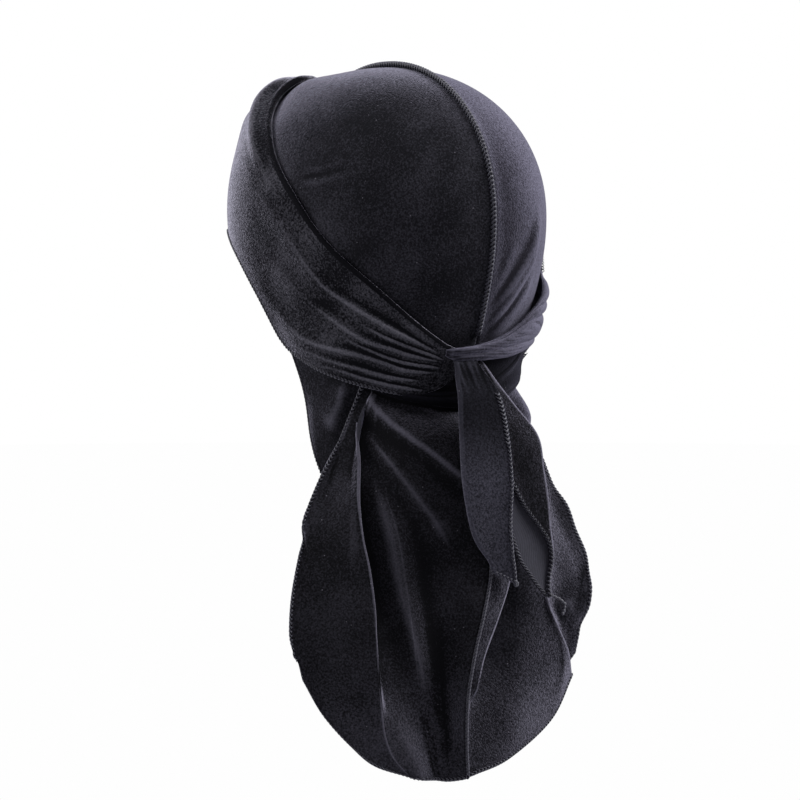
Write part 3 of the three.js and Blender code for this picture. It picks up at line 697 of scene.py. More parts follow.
def full_brow(azimuth, level):
    """The brow is a little fuller on the left than the plain head, under the cap and its tie."""
    return 3.6 * ridge(azimuth - 49, 28) * uneven(level - 82, 14, 20)


def crown_grid(side, flare, creases):
    """One half of the crown. flare is how far the lobe behind the ear stands off, the levels where it
    starts and where it is full, and the azimuth behind which there is none."""
    u = np.linspace(0, 1, 151)
    u = u + 0.45 * np.sin(2 * np.pi * u) / (2 * np.pi)  # closer over the ear and the lobe
    azimuth, v = np.meshgrid(180 * u, np.linspace(0, 1, 141), indexing="ij")
    level = mix(APEX, read(CROWN_EDGE, azimuth, 1), v)
    lobe = flare[0] * rise(azimuth, 90, 106) * rise(azimuth, flare[3], flare[3] - 18)
    lobe = lobe * rise(level, flare[1], flare[2])
    lift = lobe + RESTING
    if side > 0:
        lift = lift + full_brow(azimuth, level)
    lift = lift + creases_on_head(azimuth if side > 0 else 360 - azimuth, level, creases, pinch=1.6)
    grid = on_head(azimuth, level, lift)
    grid[..., 0] = side * (grid[..., 0] + 0.25)  # half the gap between the panels, under the seam
    return grid


for side, panel_name, flare, creases, pile in (
        (1, "crown_left", (6, -78, -112, 130), LEFT_CREASES, velvet_crown),
        (-1, "crown_right", (17, -78, -106, 146), RIGHT_CREASES, velvet_light)):
    grid = crown_grid(side, flare, creases)
    panel, front, back = cloth(panel_name + "_velvet", grid, [pile, knit], flip=side > 0)
    finish_piece(panel, panel_name)
    serge(panel_name + "_overlock", edge_run(front, back, "bottom"))

# %% [markdown]
# The two panels are overlocked together on the outside, so the seam stands up like a cord from the
# forehead to the knot, and leans a little to the wearer's left. It is a narrow standing wall of two
# cloth edges with loops over its top. A bevelled curve would give a cord, but not the stitches.

# %% Crown seam
SEAM_TALL, SEAM_LEAN = 2.6, 0.35  # millimetres, and the part of its height that it leans
SEAM_START, SEAM_END = 81, 2 * APEX + 58  # along the scalp, from the forehead over the top to the knot


def seam_path(lift):
    """Places along the top seam, at a lift off the scalp."""
    place = np.linspace(SEAM_START, SEAM_END, 400)
    azimuth = np.where(place < APEX, 0.0, 180.0)
    level = np.where(place < APEX, place, 2 * APEX - place)
    return on_head(azimuth, level, lift)


seam_low = seam_path(1.7)
seam_up = unit(seam_path(3.0) - seam_path(2.0))
seam_side = np.zeros_like(seam_low)
seam_side[:, 0] = 1
seam_lean = unit(seam_up + SEAM_LEAN * seam_side)
seam_grid = np.stack([seam_low + seam_lean * height for height in np.linspace(0, SEAM_TALL, 6)], 1)
seam_wall, front, back = cloth("crown_seam_edges", seam_grid, [velvet_crown], thickness=1.4)
finish_piece(seam_wall, "crown_seam")
serge("crown_seam_overlock",
      (seam_grid[:, -1], -seam_lean, unit(seam_side - 0.25 * seam_up), 2.5, 2.2, 1.5, 1.25))

# %% [markdown]
# ## Ties
# A tie is a wide flat band. On its way from the forehead over the ear to the knot it is gathered, so
# folds run along it and crowd together towards the knot. Far from the knot a fold is a soft swell, and
# near it the upper side is as sharp as a pleat. The top edge turns under. Simulated cloth gathers too,
# but not along lines that one chooses, so the folds are laid as creases on the head.

# %% The ties' courses and folds
# azimuth, top, bottom, roll, slack at the top, slack at the bottom
LEFT_TIE = [
    (-72, 0, -14, 0, 0, 0), (-56, 36, -9, 0, 0, 0), (-36, 58, -6, 0.5, 0, 0), (-14, 73, -5, 1, 0.5, 0),
    (12, 81, -5, 1.5, 2, 0), (30, 84, -5, 2, 3, 1), (48, 81, -7, 2.5, 4, 1.5), (60, 68.5, -9, 3, 5, 2),
    (74, 53.5, -20, 3.0, 5, 3), (84, 42, -39, 2.0, 4, 2.4), (93, 29, -62, 1.2, 2, 2),
    (105, 10.5, -72, 0.8, 1, 2), (120, -15, -80, 0.5, 0.5, 1.6), (135, -34, -85, 0.4, 0, 1),
    (150, -51.5, -88, 0.3, 0, 0), (162, -63, -85, 0.2, 0, 0), (169, -67, -80, 0, 0, 0)]
# path, height, and the widths of the upper and lower slopes at its start and end
LEFT_FOLDS = [
    ([(60, 52), (70, 40), (79, 30), (92, 10), (102, -3), (109, -18), (117, -33), (126, -42), (138, -52),
      (151, -61), (166, -69.5)], 2.3, (7, 0.7), (8, 4.0)),
    ([(84, 8), (94, -16), (102, -30), (111, -42), (121, -51), (132, -60.5), (142, -64.5), (150, -68),
      (166, -72)], 1.6, (6, 0.7), (7, 3.0)),
    ([(80, -16), (88, -36), (98, -51), (107, -60), (116, -64), (130, -68), (140, -72), (148, -75.5),
      (164, -77)], 1.8, (6, 0.7), (6, 2.6)),
    ([(90, -46), (100, -61), (110, -67.5), (119, -71.5), (130, -75), (142, -79), (156, -81)], 1.3,
     (4, 0.7), (4, 2.4)),
    ([(98, -62), (110, -72), (122, -76), (132, -80), (146, -84), (158, -86)], 1.0, (2.6, 0.6), (3, 2)),
    ([(126, -48), (136, -56), (148, -63), (165, -71)], 0.8, (1.2, 0.5), (1.8, 1.4)),
    ([(118, -55), (132, -64), (146, -71), (164, -74.5)], 0.9, (1.2, 0.5), (1.8, 1.4)),
    ([(20, 50), (45, 52), (62, 44)], 1.0, (7, 7), (8, 8))]


print("folds on the left tie:", len(LEFT_FOLDS))

# %% [markdown]
# A tie's surface is built from its course: a grid between its top and bottom edges, lifted over what it
# crosses, slack where the table says so, and creased. The wrap round the nape is made the same way.

# %% Left tie
LAYER = 2.3  # millimetres that a layer of velvet and the slack in it stand up


def wrap_lift(azimuth, level):
    """The nape wrap lies over the cape, and its end lies on the crown."""
    return mix(2 * LAYER, LAYER, rise(azimuth, 236, 246))


def left_tie_lift(azimuth, level):
    """The left tie lies over the right one at the brow and over the wrap at the nape, and bows out
    at the temple."""
    on_tie = rise(azimuth, 44, 16)
    on_wrap = rise(azimuth, 86, 115) * rise(level, -40, -62)
    stand_off = 4.2 * ridge(azimuth - 44, 23) * ridge(level - 54, 20)
    return LAYER + LAYER * on_tie + 4.5 * on_wrap + stand_off + full_brow(azimuth, level)


TALL = 70  # millimetres that a share of 1 stands for where an edge turns under


def tie_grid(table, base_lift, relief, columns, rows, turn_under=0.0):
    """The middle of a tie. turn_under is the radius at which its top edge turns back below itself:
    a flap of six rows, then eight rows round the turn."""
    azimuth = np.linspace(table[0][0], table[-1][0], columns)
    share = np.linspace(0, 1, rows)
    drop = np.zeros(rows)
    if turn_under:
        turn = np.linspace(0, np.pi, 9)[:-1]
        flap = np.linspace(5, 0.6, 6)
        ahead = np.concatenate([flap, -np.sin(turn) * turn_under])
        share = np.concatenate([ahead / TALL, share])
        drop = np.concatenate([np.full(len(flap), 2.0), 1 + np.cos(turn), drop])
    azimuth, share = np.meshgrid(azimuth, share, indexing="ij")
    inside = np.clip(share, 0, 1)
    top, bottom = read(table, azimuth, 1), read(table, azimuth, 2)
    tall = np.maximum(top - bottom, 1)
    level = top - np.where(drop[None, :] > 0, share * TALL / tall, share) * tall
    lift = base_lift(azimuth, level) + RESTING
    lift = lift + read(table, azimuth, 3) * ridge(inside - 0.10, 0.07)
    slack = mix(read(table, azimuth, 4), read(table, azimuth, 5), inside)
    lift = lift + slack * mix(0.1, 1, rise(inside * tall, 0, 10))
    lift = lift + relief(azimuth, inside, level)
    if turn_under:
        free = 0.1 * read(table, azimuth, 4) + 0.2 * read(table, azimuth, 3)
        radius = np.clip(0.75 + free / 2, 0.75, turn_under)
        lift = lift + 0.9 * ridge(inside * tall, 5.0) - drop[None, :] * radius
    return on_head(azimuth, level, lift)


def left_relief(azimuth, share, level):
    """The left tie's folds, which start soft and fade out over the last fifth."""
    return creases_on_head(azimuth, level, LEFT_FOLDS, (0.6, 0.2), 1.6)


tie_left_points = tie_grid(LEFT_TIE, left_tie_lift, left_relief, 330, 118, turn_under=1.4)
# the tie's turned-under top rows get painted shade
tie_left, front, back = cloth("tie_left_velvet", tie_left_points, [velvet_tie, knit], flip=True,
                              shaded_rows=16)
finish_piece(tie_left, "tie_left")
serge("tie_left_overlock", edge_run(front, back, "bottom", 0.0, 0.9, 1.7))

# %% [markdown]
# The right tie comes off the right ear as a flat band and narrows into a strap of round strands that
# crosses the left tie and ends in the knot. Lines between the strands are kept in a table, and the cloth
# arches between each two. The strap's edges turn under. Its last 20 mm are the knot's own piece, since
# there the cloth is pulled round and tucked in, and both pieces come from the same surface. Four
# separate cords would be simpler, but cloth shows as one skin that dips between its strands.

# %% Right tie and knot
# azimuth, lift, top edge, three lines between strands, bottom edge, and how far the edges turn under
STRAP = [
    (163.5, 9.0, -65.2, -65.3, -65.4, -66.6, -67.8, 4), (166, 10.0, -64.6, -64.7, -64.8, -67.4, -69.6, 5),
    (170, 10.8, -64, -64.1, -64.2, -67.6, -70.6, 5), (178, 10.2, -62.8, -62.9, -63.1, -66.6, -70.2, 5),
    (187.5, 8.8, -60, -60.2, -60.6, -64.8, -69.8, 4), (195, 7.8, -56.6, -57, -57.6, -63.8, -69.4, 3),
    (201, 7.2, -52.8, -53.2, -54.2, -63.0, -68.6, 2.4), (207, 6.8, -48.6, -49.0, -51.4, -62.5, -67.4, 2),
    (213, 6.6, -44.6, -45.4, -50, -62.1, -66.2, 1.6), (220, 6.3, -40, -43.2, -49, -61.8, -65, 1.2),
    (230, 4.4, -33.5, -40.4, -48.3, -61.5, -64.2, 1), (239, 2.9, -28.5, -37, -46, -62, -70, 0.3),
    (248, 2.9, -14, -30, -43, -62, -79, 0.2), (257, 2.9, 7, -18, -36, -60, -77, 0.2),
    (267, 2.7, 26, -4, -25, -46, -60, 0.3), (278, 2.3, 44, 14, -10, -28, -38, 1),
    (290, 2.3, 57, 28, 8, -8, -17, 1),
    (306, 2.3, 64, 40, 16, 0, -9, 1), (324, 2.3, 67, 42, 20, 4, -4, 1), (350, 2.3, 67, 44, 22, 6, -2, 1)]


def strap_grid(start, end, columns, across=26, under=8):
    """The strap between two azimuths: four arches side by side, with edges that turn under."""
    azimuth = np.linspace(start, end, columns)
    lines = [read(STRAP, azimuth, k) for k in (2, 3, 4, 5, 6)]
    lift = read(STRAP, azimuth, 1) + RESTING
    tuck = read(STRAP, azimuth, 7)
    fade = mix(0.15, 1.0, rise(azimuth, 244, 222))
    levels, lifts = [], []
    for step in np.linspace(1, 0, under, endpoint=False):
        levels.append(lines[0] - 0.9 * np.sin(step * np.pi / 2) * rise(azimuth, 240, 205))
        lifts.append(lift - step * tuck)
    for upper, lower in zip(lines[:-1], lines[1:]):
        half = (upper - lower) / 2
        height = fade * 2.8 * np.tanh((half / 2.3) ** 1.5)
        for step in (np.arange(across) + 0.5) / across * 2 - 1:
            levels.append((upper + lower) / 2 - step * half)
            lifts.append(lift + height * (1 - abs(step) ** 2.4) ** 0.6)
    for step in (np.arange(under) + 1) / under:
        levels.append(lines[-1] + 0.9 * math.sin(step * math.pi / 2) * rise(azimuth, 240, 205))
        lifts.append(lift - step * tuck)
    azimuth = np.broadcast_to(azimuth[:, None], (columns, len(levels)))
    level, lift = np.stack(levels, 1), np.stack(lifts, 1)
    # small gathers along the strap, finer towards the knot
    gather = (0.07 * np.sin(level * 1.9 + azimuth * 0.17 + np.sin(azimuth * 0.3))
              + 0.03 * np.sin(level * 4.7 - azimuth * 0.23 + 2 * np.sin(azimuth * 0.17)))
    lift = lift + gather * rise(azimuth, 222, 196)
    # the strap passes over the wrap, which lies below it from about 50 mm under the widest level
    over_wrap = mix(6.4, 4.2, rise(azimuth, 238, 250)) - read(STRAP, azimuth, 1)
    lift = lift + np.maximum(over_wrap, 0) * rise(level, -44, -55) * rise(azimuth, 264, 253)
    lift = lift + creases_on_head(azimuth, level, RIGHT_FOLDS)
    return on_head(azimuth, level, lift)


RIGHT_FOLDS = [([(206, -52.5), (214, -53), (226, -56)], -0.6, (1.2, 1.5), (1.6, 2.0)),
               ([(250, -20), (266, 6), (284, 34)], 1.0, (5, 6), (5, 6)),
               ([(246, -48), (264, -36), (290, 4), (320, 14)], 1.2, (5, 7), (5, 7))]
KNOT_START, KNOT_END, STRAP_END = 163.5, 178.5, 350
STRAP_START = KNOT_END - 1.2  # it reaches a little under the knot, a quarter of a millimetre lower
tie_right_points = strap_grid(STRAP_START, STRAP_END, 250)
step_down = rise(np.linspace(STRAP_START, STRAP_END, 250), KNOT_END + 2, KNOT_END - 0.5) * 0.25
tie_right_points -= unit(tie_right_points * [1, 1, 0]) * step_down[:, None, None]
tie_right, front, back = cloth("tie_right_velvet", tie_right_points, [velvet_light, knit], flip=True)
finish_piece(tie_right, "tie_right")
serge("tie_right_overlock", edge_run(front, back, "bottom", 0.36, 1.0),
      edge_run(front, back, "top", 0.36, 0.99))

knot, front, back = cloth("knot_velvet", strap_grid(KNOT_START, KNOT_END, 60), [velvet_light, knit],
                          thickness=0.9, flip=True)
knot["cut_area"] *= 1.2  # its cloth is gathered finer than the mesh shows
finish_piece(knot, "knot")

# %% [markdown]
# The ties' first turn passes round the nape over the top of the cape. It is pulled tight, so fine
# folds follow its lower edge, which bulges over. It is made just as the left tie is, from its own
# table, so that the two meet cleanly behind the ear.

# %% Nape wrap
# azimuth, top and bottom; a pulled wrap has no roll and no slack
NAPE_WRAP = [(*row, 0, 0, 0) for row in (
    (116, -60, -74), (138, -67, -87), (160, -71, -93), (180, -66, -95),
    (200, -59, -93), (218, -54, -89), (236, -56, -85), (250, -60, -76))]
WRAP_FOLDS = [
    ([(130, -79), (146, -85), (160, -87), (176, -87)], 0.9, (0.7, 0.7), (2, 2)),
    ([(138, -84), (152, -88.5), (166, -90), (180, -90)], 0.8, (0.6, 0.6), (1.8, 1.8)),
    ([(150, -80), (164, -82), (178, -82)], 0.8, (0.8, 0.8), (2, 2)),
    ([(190, -84), (199, -79), (208, -73), (216, -66)], 1.0, (0.7, 0.7), (3, 3)),
    ([(196, -92), (206, -90), (222, -86), (240, -80)], 0.6, (0.8, 0.8), (1.5, 1.5))]


def wrap_relief(azimuth, share, level):
    """Fine pulled folds, and a lower edge that bulges over."""
    bulge = 1.5 * ridge(share - 0.84, 0.14) * rise(azimuth, 116, 130)
    return creases_on_head(azimuth, level, WRAP_FOLDS) + bulge


wrap_points = tie_grid(NAPE_WRAP, wrap_lift, wrap_relief, 190, 64)
# the wrap's velvet is a darker copy, painted shade for the strap's shadow
nape_wrap, front, back = cloth("nape_wrap_velvet", wrap_points, [velvet_wrap, knit], flip=True)
finish_piece(nape_wrap, "nape_wrap")

# %% [markdown]
# ## Cape
# The cape hangs from the nape in folds. It is drawn as a sewer would: lines that the cloth follows
# from the nape to the hem, each an edge, the crest of a fold or a valley between two. The cloth is a
# smooth curve through them, with a crease where a line is sharp. A cloth simulation would hang it in
# folds of its own choice; here each fold has its place.

# %% Cape lines
# each line: azimuth at the nape, 1 where it is a sharp crease, and its x, y, z from there to the hem
LEAVE = 0.1  # the share of a line that lies on the nape, under the wrap
CAPE_LEFT = [
    (128.5, 1, [(58, 46, -108), (69, 47, -124), (79, 48, -142), (83.5, 50, -149), (84, 51, -157),
                (89, 54, -167), (95, 57, -186), (97.5, 59, -203), (97, 60.5, -211), (94.5, 61.5, -217),
                (92.5, 63, -227)]),
    (129.7, 0, [(65, 49.5, -124), (79, 55, -150), (88, 60, -180), (90, 63.5, -206), (88, 66, -228),
                (84.5, 68.5, -244)]),
    (130.9, 0, [(62, 54, -124), (73, 62, -150), (80, 67, -180), (83, 70, -215), (79, 73.5, -242),
                (73, 77, -260)]),
    (132.1, 0, [(59, 57.5, -124), (68, 69.5, -150), (72, 75.5, -180), (74, 79, -220), (69, 80.5, -250),
                (62.5, 82.5, -270)]),
    (133.3, 1, [(52, 51, -102), (57, 60, -121), (63, 69, -140), (65, 75.5, -157), (64, 80, -172),
                (63.5, 84, -190), (64.5, 87, -205), (63.5, 88.5, -228), (62, 88, -243), (59.5, 87, -255),
                (55.5, 87.5, -265), (50, 88.5, -272), (44.5, 89, -277)]),
    (133.7, 0, [(51, 49.5, -104), (55, 55.5, -121), (59, 61, -140), (60, 66, -157), (59, 70, -172),
                (58.5, 74, -190), (59.4, 78.1, -205), (58.3, 82.5, -228), (54.9, 86, -243),
                (50.1, 88.6, -255), (45.1, 90.2, -265), (39.5, 91.5, -278)]),
    (139, 0, [(46, 57, -112), (47, 67, -135), (45, 76, -160), (43, 80, -187), (41, 83, -215),
              (38, 86, -245), (31.5, 90.5, -279)]),
    (155, 0, [(29, 74, -112), (30, 82, -150), (29, 88, -200), (27, 91, -250), (26, 94, -279.5)]),
    (180, 1, [(2, 85, -112), (5, 96, -145), (7.5, 102, -174), (13, 105, -192), (19, 105, -214),
              (22, 103, -238), (22, 102, -260), (20, 100.5, -278)])]
CAPE_RIGHT = [
    CAPE_LEFT[-1],
    (188, 1, [(-8, 84, -112), (-10, 93, -140), (-9, 98.5, -162), (-5, 101.5, -180), (4.5, 104.5, -199),
              (13, 105, -217), (17.2, 104.8, -232), (20, 102.6, -240), (21, 101.7, -250),
              (20.8, 101.2, -262), (19.4, 100.3, -277)]),
    (198, 0, [(-14, 76, -116), (-10, 76, -150), (-5, 74, -188), (1, 79, -220), (9, 85.5, -236),
              (14.3, 91.7, -250), (17, 97, -265), (15.2, 101, -276)]),
    (206, 0, [(-24, 77, -120), (-26, 81, -160), (-26, 81, -200), (-22, 84, -230), (-15, 91, -250),
              (-7.5, 98, -271)]),
    (213, 0, [(-30, 74, -120), (-36, 80, -160), (-42, 82, -205), (-50, 81, -232), (-42, 86, -257)]),
    (219, 1, [(-36, 66, -120), (-38, 77, -160), (-42, 83, -195), (-50, 81.5, -210), (-58, 79, -223),
              (-62.5, 76, -237)]),
    (222, 0, [(-44, 55, -120), (-52, 62, -160), (-56, 65, -185), (-54.8, 67, -200), (-58.7, 68.5, -212),
              (-62.9, 67.7, -223), (-63.6, 66.9, -238)]),
    (224.5, 0, [(-55, 47, -120), (-68, 55, -160), (-75.5, 63, -190), (-68.3, 65.4, -205),
                (-66.5, 66.3, -234)]),
    (227, 1, [(-66, 44.5, -124), (-72, 48, -141), (-77.7, 52.4, -151), (-81.5, 55, -164),
              (-86, 58, -177), (-84, 63.4, -188), (-81, 66.5, -200), (-76.8, 65.1, -211),
              (-75.4, 65.3, -218), (-73.2, 65, -227)])]
# columns of the grid between two lines, closer where a fold is sharp
LEFT_COLUMNS = [12, 12, 14, 22, 26, 20, 38, 40]
RIGHT_COLUMNS = [26, 26, 18, 20, 26, 22, 18, 22]
CAPE_ROWS = 230


print("lines of the cape:", len(CAPE_LEFT), "left and", len(CAPE_RIGHT), "right, one of them shared")

# %% [markdown]
# Between two lines the cloth is a curve. At the nape every line starts on the crown and under the wrap,
# and the hanging part is bent to meet it, so the cape comes out from below the wrap without a step.

# %% Cape between its lines
CAPE_TOP, CAPE_LIFT = -76, 2.4 + 0.75  # level of its top edge, and its middle's lift on the nape
CAPE_GAP = 0.5  # half the gap between the panels, under the seam


def cape_on_nape(azimuth, v):
    """The top of the cape, on the crown and below the wrap, which it leaves 2 mm under its edge."""
    leave = read(NAPE_WRAP, azimuth, 2) - 2
    return on_head(azimuth, mix(CAPE_TOP, leave, np.minimum(v / LEAVE, 1)), CAPE_LIFT)


def cape_lines(table, v):
    """Every line of the cape at the places v: an array of lines, places and x, y, z."""
    lines = []
    for azimuth, _, stations in table:
        top = cape_on_nape(np.array([azimuth]), np.array([LEAVE]))[0]
        z = mix(top[2], stations[-1][2], np.clip((v - LEAVE) / (1 - LEAVE), 0, 1))
        keyed = [(-top[2], top[0], top[1])] + [(-row[2], row[0], row[1]) for row in stations]
        hang = np.stack([read(keyed, -z, 1), read(keyed, -z, 2), z], -1)
        nape = cape_on_nape(np.full_like(v, azimuth), v)
        lines.append(np.where((v <= LEAVE)[:, None], nape, hang))
    return np.stack(lines)


def across(lines, k, s, sharp):
    """The cloth between line k and the next, at share s: a curve that passes smoothly through a round
    line and arrives straight at a sharp one."""
    last = len(lines) - 1
    before, after = max(k - 1, 0), min(k + 2, last)
    chord = lines[k + 1] - lines[k]
    slope_from = chord if sharp[k] else (lines[k + 1] - lines[before]) / 2
    slope_to = chord if sharp[k + 1] else (lines[after] - lines[k]) / 2
    return ((2 * s ** 3 - 3 * s ** 2 + 1) * lines[k] + (s ** 3 - 2 * s ** 2 + s) * slope_from
            + (3 * s ** 2 - 2 * s ** 3) * lines[k + 1] + (s ** 3 - s ** 2) * slope_to)


def cape_grid(table, side, columns):
    """The cape's cloth before its crossing folds, with the place of each point between the lines."""
    v = np.linspace(0, 1, CAPE_ROWS) ** 1.15
    lines = cape_lines(table, v)
    leaving = cape_lines(table, np.full(1, LEAVE + 1e-6))
    last = len(table) - 1
    sharp = [row[1] for row in table]
    places = np.concatenate([k + np.arange(count) / count for k, count in enumerate(columns)] + [[last]])
    grid = np.empty((len(places), CAPE_ROWS, 3))
    for i, place in enumerate(places):
        k = min(int(place), last - 1)
        s = place - k
        azimuth = mix(table[k][0], table[k + 1][0], s)
        nape = cape_on_nape(np.full(CAPE_ROWS, azimuth), v)
        # the hanging part bends to meet the nape where it leaves it
        to_nape = cape_on_nape(np.array([azimuth]), np.array([LEAVE]))[0] - across(leaving, k, s, sharp)[0]
        hang = across(lines, k, s, sharp) + to_nape * rise(v, 0.3, LEAVE)[:, None]
        grid[i] = np.where((v <= LEAVE)[:, None], nape, hang)
    grid[..., 0] += side * CAPE_GAP
    return grid, places[:, None], v[None, :]


# %% [markdown]
# Folds that cross the cape are added as creases on the spread cloth, here seen as x and z. They could
# be more lines in the tables above, but a fold that slants from the nape to the seam would pull every
# line with it. A pinch near 1 makes a fold sharp, and one near 2 makes it soft.

# %% Cape folds and panels
# path, height, upper and lower slopes, the shares over which the ends fade, and the pinch
LEFT_CAPE_FOLDS = [
    ([(46, -84), (44, -91), (38, -104), (27, -116.5), (13, -130), (2, -137)], 4.8, (4.0, 5), (8, 11),
     (0.05, 0.05), 1.3),
    ([(48, -102), (46, -112), (42, -122), (38, -131), (33, -141), (27, -152), (19, -172)], 4.6,
     (4, 9), (6, 11), (0.3, 0.3), 1.7),
    ([(50, -112), (50, -134), (48, -158), (46, -180), (42, -205), (38, -225), (33, -252)], 5.0,
     (6, 9), (7, 9), (0.3, 0.3), 1.8),
    ([(36, -88), (26, -94), (14, -98)], 1.4, (3, 3), (3, 3), (0.3, 0.3), 2),
    ([(35, -240), (31, -254), (29, -264)], 0.7, (3, 3), (3.5, 3.5), (0.4, 0.4), 2),
    ([(31, -256), (29, -268), (26.5, -286)], 0.7, (2.2, 2.2), (3, 3), (0.5, 0.1), 2),
    ([(26, -260), (24.5, -272), (23.5, -288)], 0.5, (2, 2), (2.6, 2.6), (0.5, 0.1), 2)]
RIGHT_CAPE_FOLDS = [
    ([(-60, -206), (-76, -198), (-92, -190)], 3.0, (10, 11), (5, 5), (0.3, 0.1), 2),
    ([(-10, -120), (-24, -128), (-34, -134)], 2.5, (5, 5), (6, 6), (0.3, 0.3), 2)]


def shaped_cape(table, side, columns, folds, first_line):
    """A cape panel with its folds, which are full from just after its line first_line on."""
    grid, u, v = cape_grid(table, side, columns)
    normals = normals_of(grid)
    normals *= np.sign(normals[len(normals) // 2, CAPE_ROWS // 2, 1])
    place = grid[..., [0, 2]]
    push = 0.35 * np.sin(u * 1.9 + v * 4) * rise(v, LEAVE, 0.3)  # no hung cloth is quite even
    push = push * rise(u, 0, 1) * rise(u, len(table) - 1, len(table) - 2)
    for path, height, above, below, ends, pinch in folds:
        lift = crease(place, path, height, above, below, ends, pinch)
        push = push + lift * rise(u, first_line, first_line + 0.8)
    return grid + normals * (push * rise(v, LEAVE * 0.8, LEAVE * 1.5))[..., None]


for side, panel_name, table, columns, folds, first_line, pile in (
        (1, "cape_left", CAPE_LEFT, LEFT_COLUMNS, LEFT_CAPE_FOLDS, 4.6, velvet_cape),
        (-1, "cape_right", CAPE_RIGHT, RIGHT_COLUMNS, RIGHT_CAPE_FOLDS, 1.2, velvet_cape_light)):
    grid = shaped_cape(table, side, columns, folds, first_line)
    seam_column = -1 if side > 0 else 0
    out = normals_of(grid)[len(grid) // 2, CAPE_ROWS // 3, 1] < 0
    panel, front, back = cloth(panel_name + "_velvet", grid, [pile, knit],
                               straight=(seam_column, np.array([0, 1.0, 0])), flip=bool(out))
    finish_piece(panel, panel_name)
    outer = "first" if side > 0 else "last"
    serge(panel_name + "_overlock", edge_run(front, back, outer, 0.05, 1.0),
          edge_run(front, back, "bottom", width=1.7))
    if side > 0:
        cape_seam_line = (front[-1] + back[-1]) / 2

# %% [markdown]
# The cape's own seam is narrower and lies flatter. It shows as a fine raised line with small stitches.
# It is made as the crown seam is, on the line where the two panels meet.

# %% Cape seam
path = cape_seam_line[20:-2] + np.array([-0.5, CLOTH / 2 + 0.2, 0])
seam_face = np.broadcast_to(np.array([1.0, 0, 0]), path.shape)
seam_out = np.broadcast_to(np.array([0, 1.0, 0]), path.shape)
cape_seam_grid = np.stack([path + seam_out * height for height in (0, 0.4, 0.8, 1.1)], 1)
cape_seam, front, back = cloth("cape_seam_edges", cape_seam_grid, [velvet_cape], thickness=0.7)
finish_piece(cape_seam, "cape_seam")
serge("cape_seam_overlock", (cape_seam_grid[:, -1], -seam_out, seam_face, 0.9, 1.9, 0.7, 0.65))

# %% [markdown]
# ## Hanging ends
# Each tie ends in a long point that hangs from the knot, folded in two along its length. The cut edges
# are overlocked, and the end behind hangs open, so the matt back of the velvet shows between them.
# A flat sheet could be folded by a hinge of bones; a section that is folded already, and swept down a
# short table, keeps the fold round and the layers apart.

# %% Tie ends
# z, x, y, width, the way it faces, share that the front layer covers
END_IN_FRONT = [
    (-69.0, 9.5, 82, 10, 168, 1), (-72.4, 10.5, 87.2, 12, 168, 1), (-78, 10, 90.4, 16, 168, 1),
    (-87, 9, 95.3, 21, 168, 1),
    (-105, 9, 100, 25, 168, 1), (-129.5, 9.8, 104.3, 26, 167, 1), (-152, 9.2, 106.2, 21, 166, 1),
    (-164, 6.5, 107.3, 17, 166, 1), (-172, 3.5, 108, 13.5, 166, 1), (-178, 2.2, 108.4, 11.5, 166, 1)]
END_BEHIND = [
    (-69.0, 4, 80, 8, 176, 1), (-80, 3, 88, 14, 178, 1), (-93, -2.9, 93.0, 20, 180, 1),
    (-109, -11.8, 97.8, 25, 180, 1), (-126, -15.8, 98.4, 23, 180, 0.97), (-142, -17.8, 98.8, 24, 180, 0.66),
    (-155, -19, 98.6, 24.5, 180, 0.24), (-164, -21, 99, 23, 180, 0.06), (-172, -22.9, 99.6, 20, 180, 0.03),
    (-178, -24.2, 100.4, 14, 180, 0.03), (-184, -25.6, 101.4, 8, 180, 0.05), (-190, -28, 103, 3, 180, 0.4)]


def end_grid(table, fold_side, slant, columns=97, rows=170):
    """A folded end. half is half the fold's thickness, turn_share the part of the cloth round the
    fold, fold_side the side that the fold is on, and slant how far the tip's hem slopes."""
    half, turn_share = 1.0, 0.12
    layer = (1 - turn_share) / 2
    u, v = np.meshgrid(np.linspace(0, 1, columns), np.linspace(0, 1, rows), indexing="ij")
    z = mix(table[0][0], table[-1][0], v)
    x, y, wide, facing, cover = (read(table, z, k) for k in (1, 2, 3, 4, 5))
    turn = np.radians(facing)
    out = np.stack([np.sin(turn), -np.cos(turn), 0 * turn], -1)
    across = np.stack([-np.cos(turn), -np.sin(turn), 0 * turn], -1) * fold_side
    flat = wide - half
    bend = np.clip((u - layer) / turn_share, 0, 1) * np.pi
    front_part = np.maximum(layer - u, 0) / layer * cover
    back_part = np.maximum(u - layer - turn_share, 0) / layer
    aside = flat * (0.5 - front_part - back_part) + half * np.sin(bend)
    ahead = half * np.cos(bend)
    # gathered at the knot, then a slow roll down the length
    gather = (0.25 * np.cos(aside * 0.8 + 0.8) + 0.06 * np.cos(aside * 1.9)) * rise(z, -92, -74)
    ahead = ahead + gather + 0.5 * np.sin(aside * 0.22 + z * 0.05) * rise(z, -80, -110)
    grid = np.stack([x, y, z], -1) + across * aside[..., None] + out * ahead[..., None]
    grid[..., 2] += slant * aside * fold_side * rise(v, 0.8, 1)
    return grid


for end_name, table, fold_side, slant, pile in (
        ("tie_end_front", END_IN_FRONT, 1, 0.5, velvet_end),
        ("tie_end_behind", END_BEHIND, -1, 0.0, velvet_cape)):
    grid = end_grid(table, fold_side, slant)
    facing = normals_of(grid)[10, 75, 1]
    end, front, back = cloth(end_name + "_velvet", grid, [pile, knit], flip=bool(facing < 0))
    finish_piece(end, end_name)
    braid = edge_run(front, back, "first", 0.16, 0.40, 2.4) + (PITCH, CLOTH, 1.25)
    serge(end_name + "_overlock", braid, edge_run(front, back, "first", 0.40, 1.0, 1.6),
          edge_run(front, back, "last", 0.16, 1.0), edge_run(front, back, "bottom", 0.0, 1.0, 1.6))

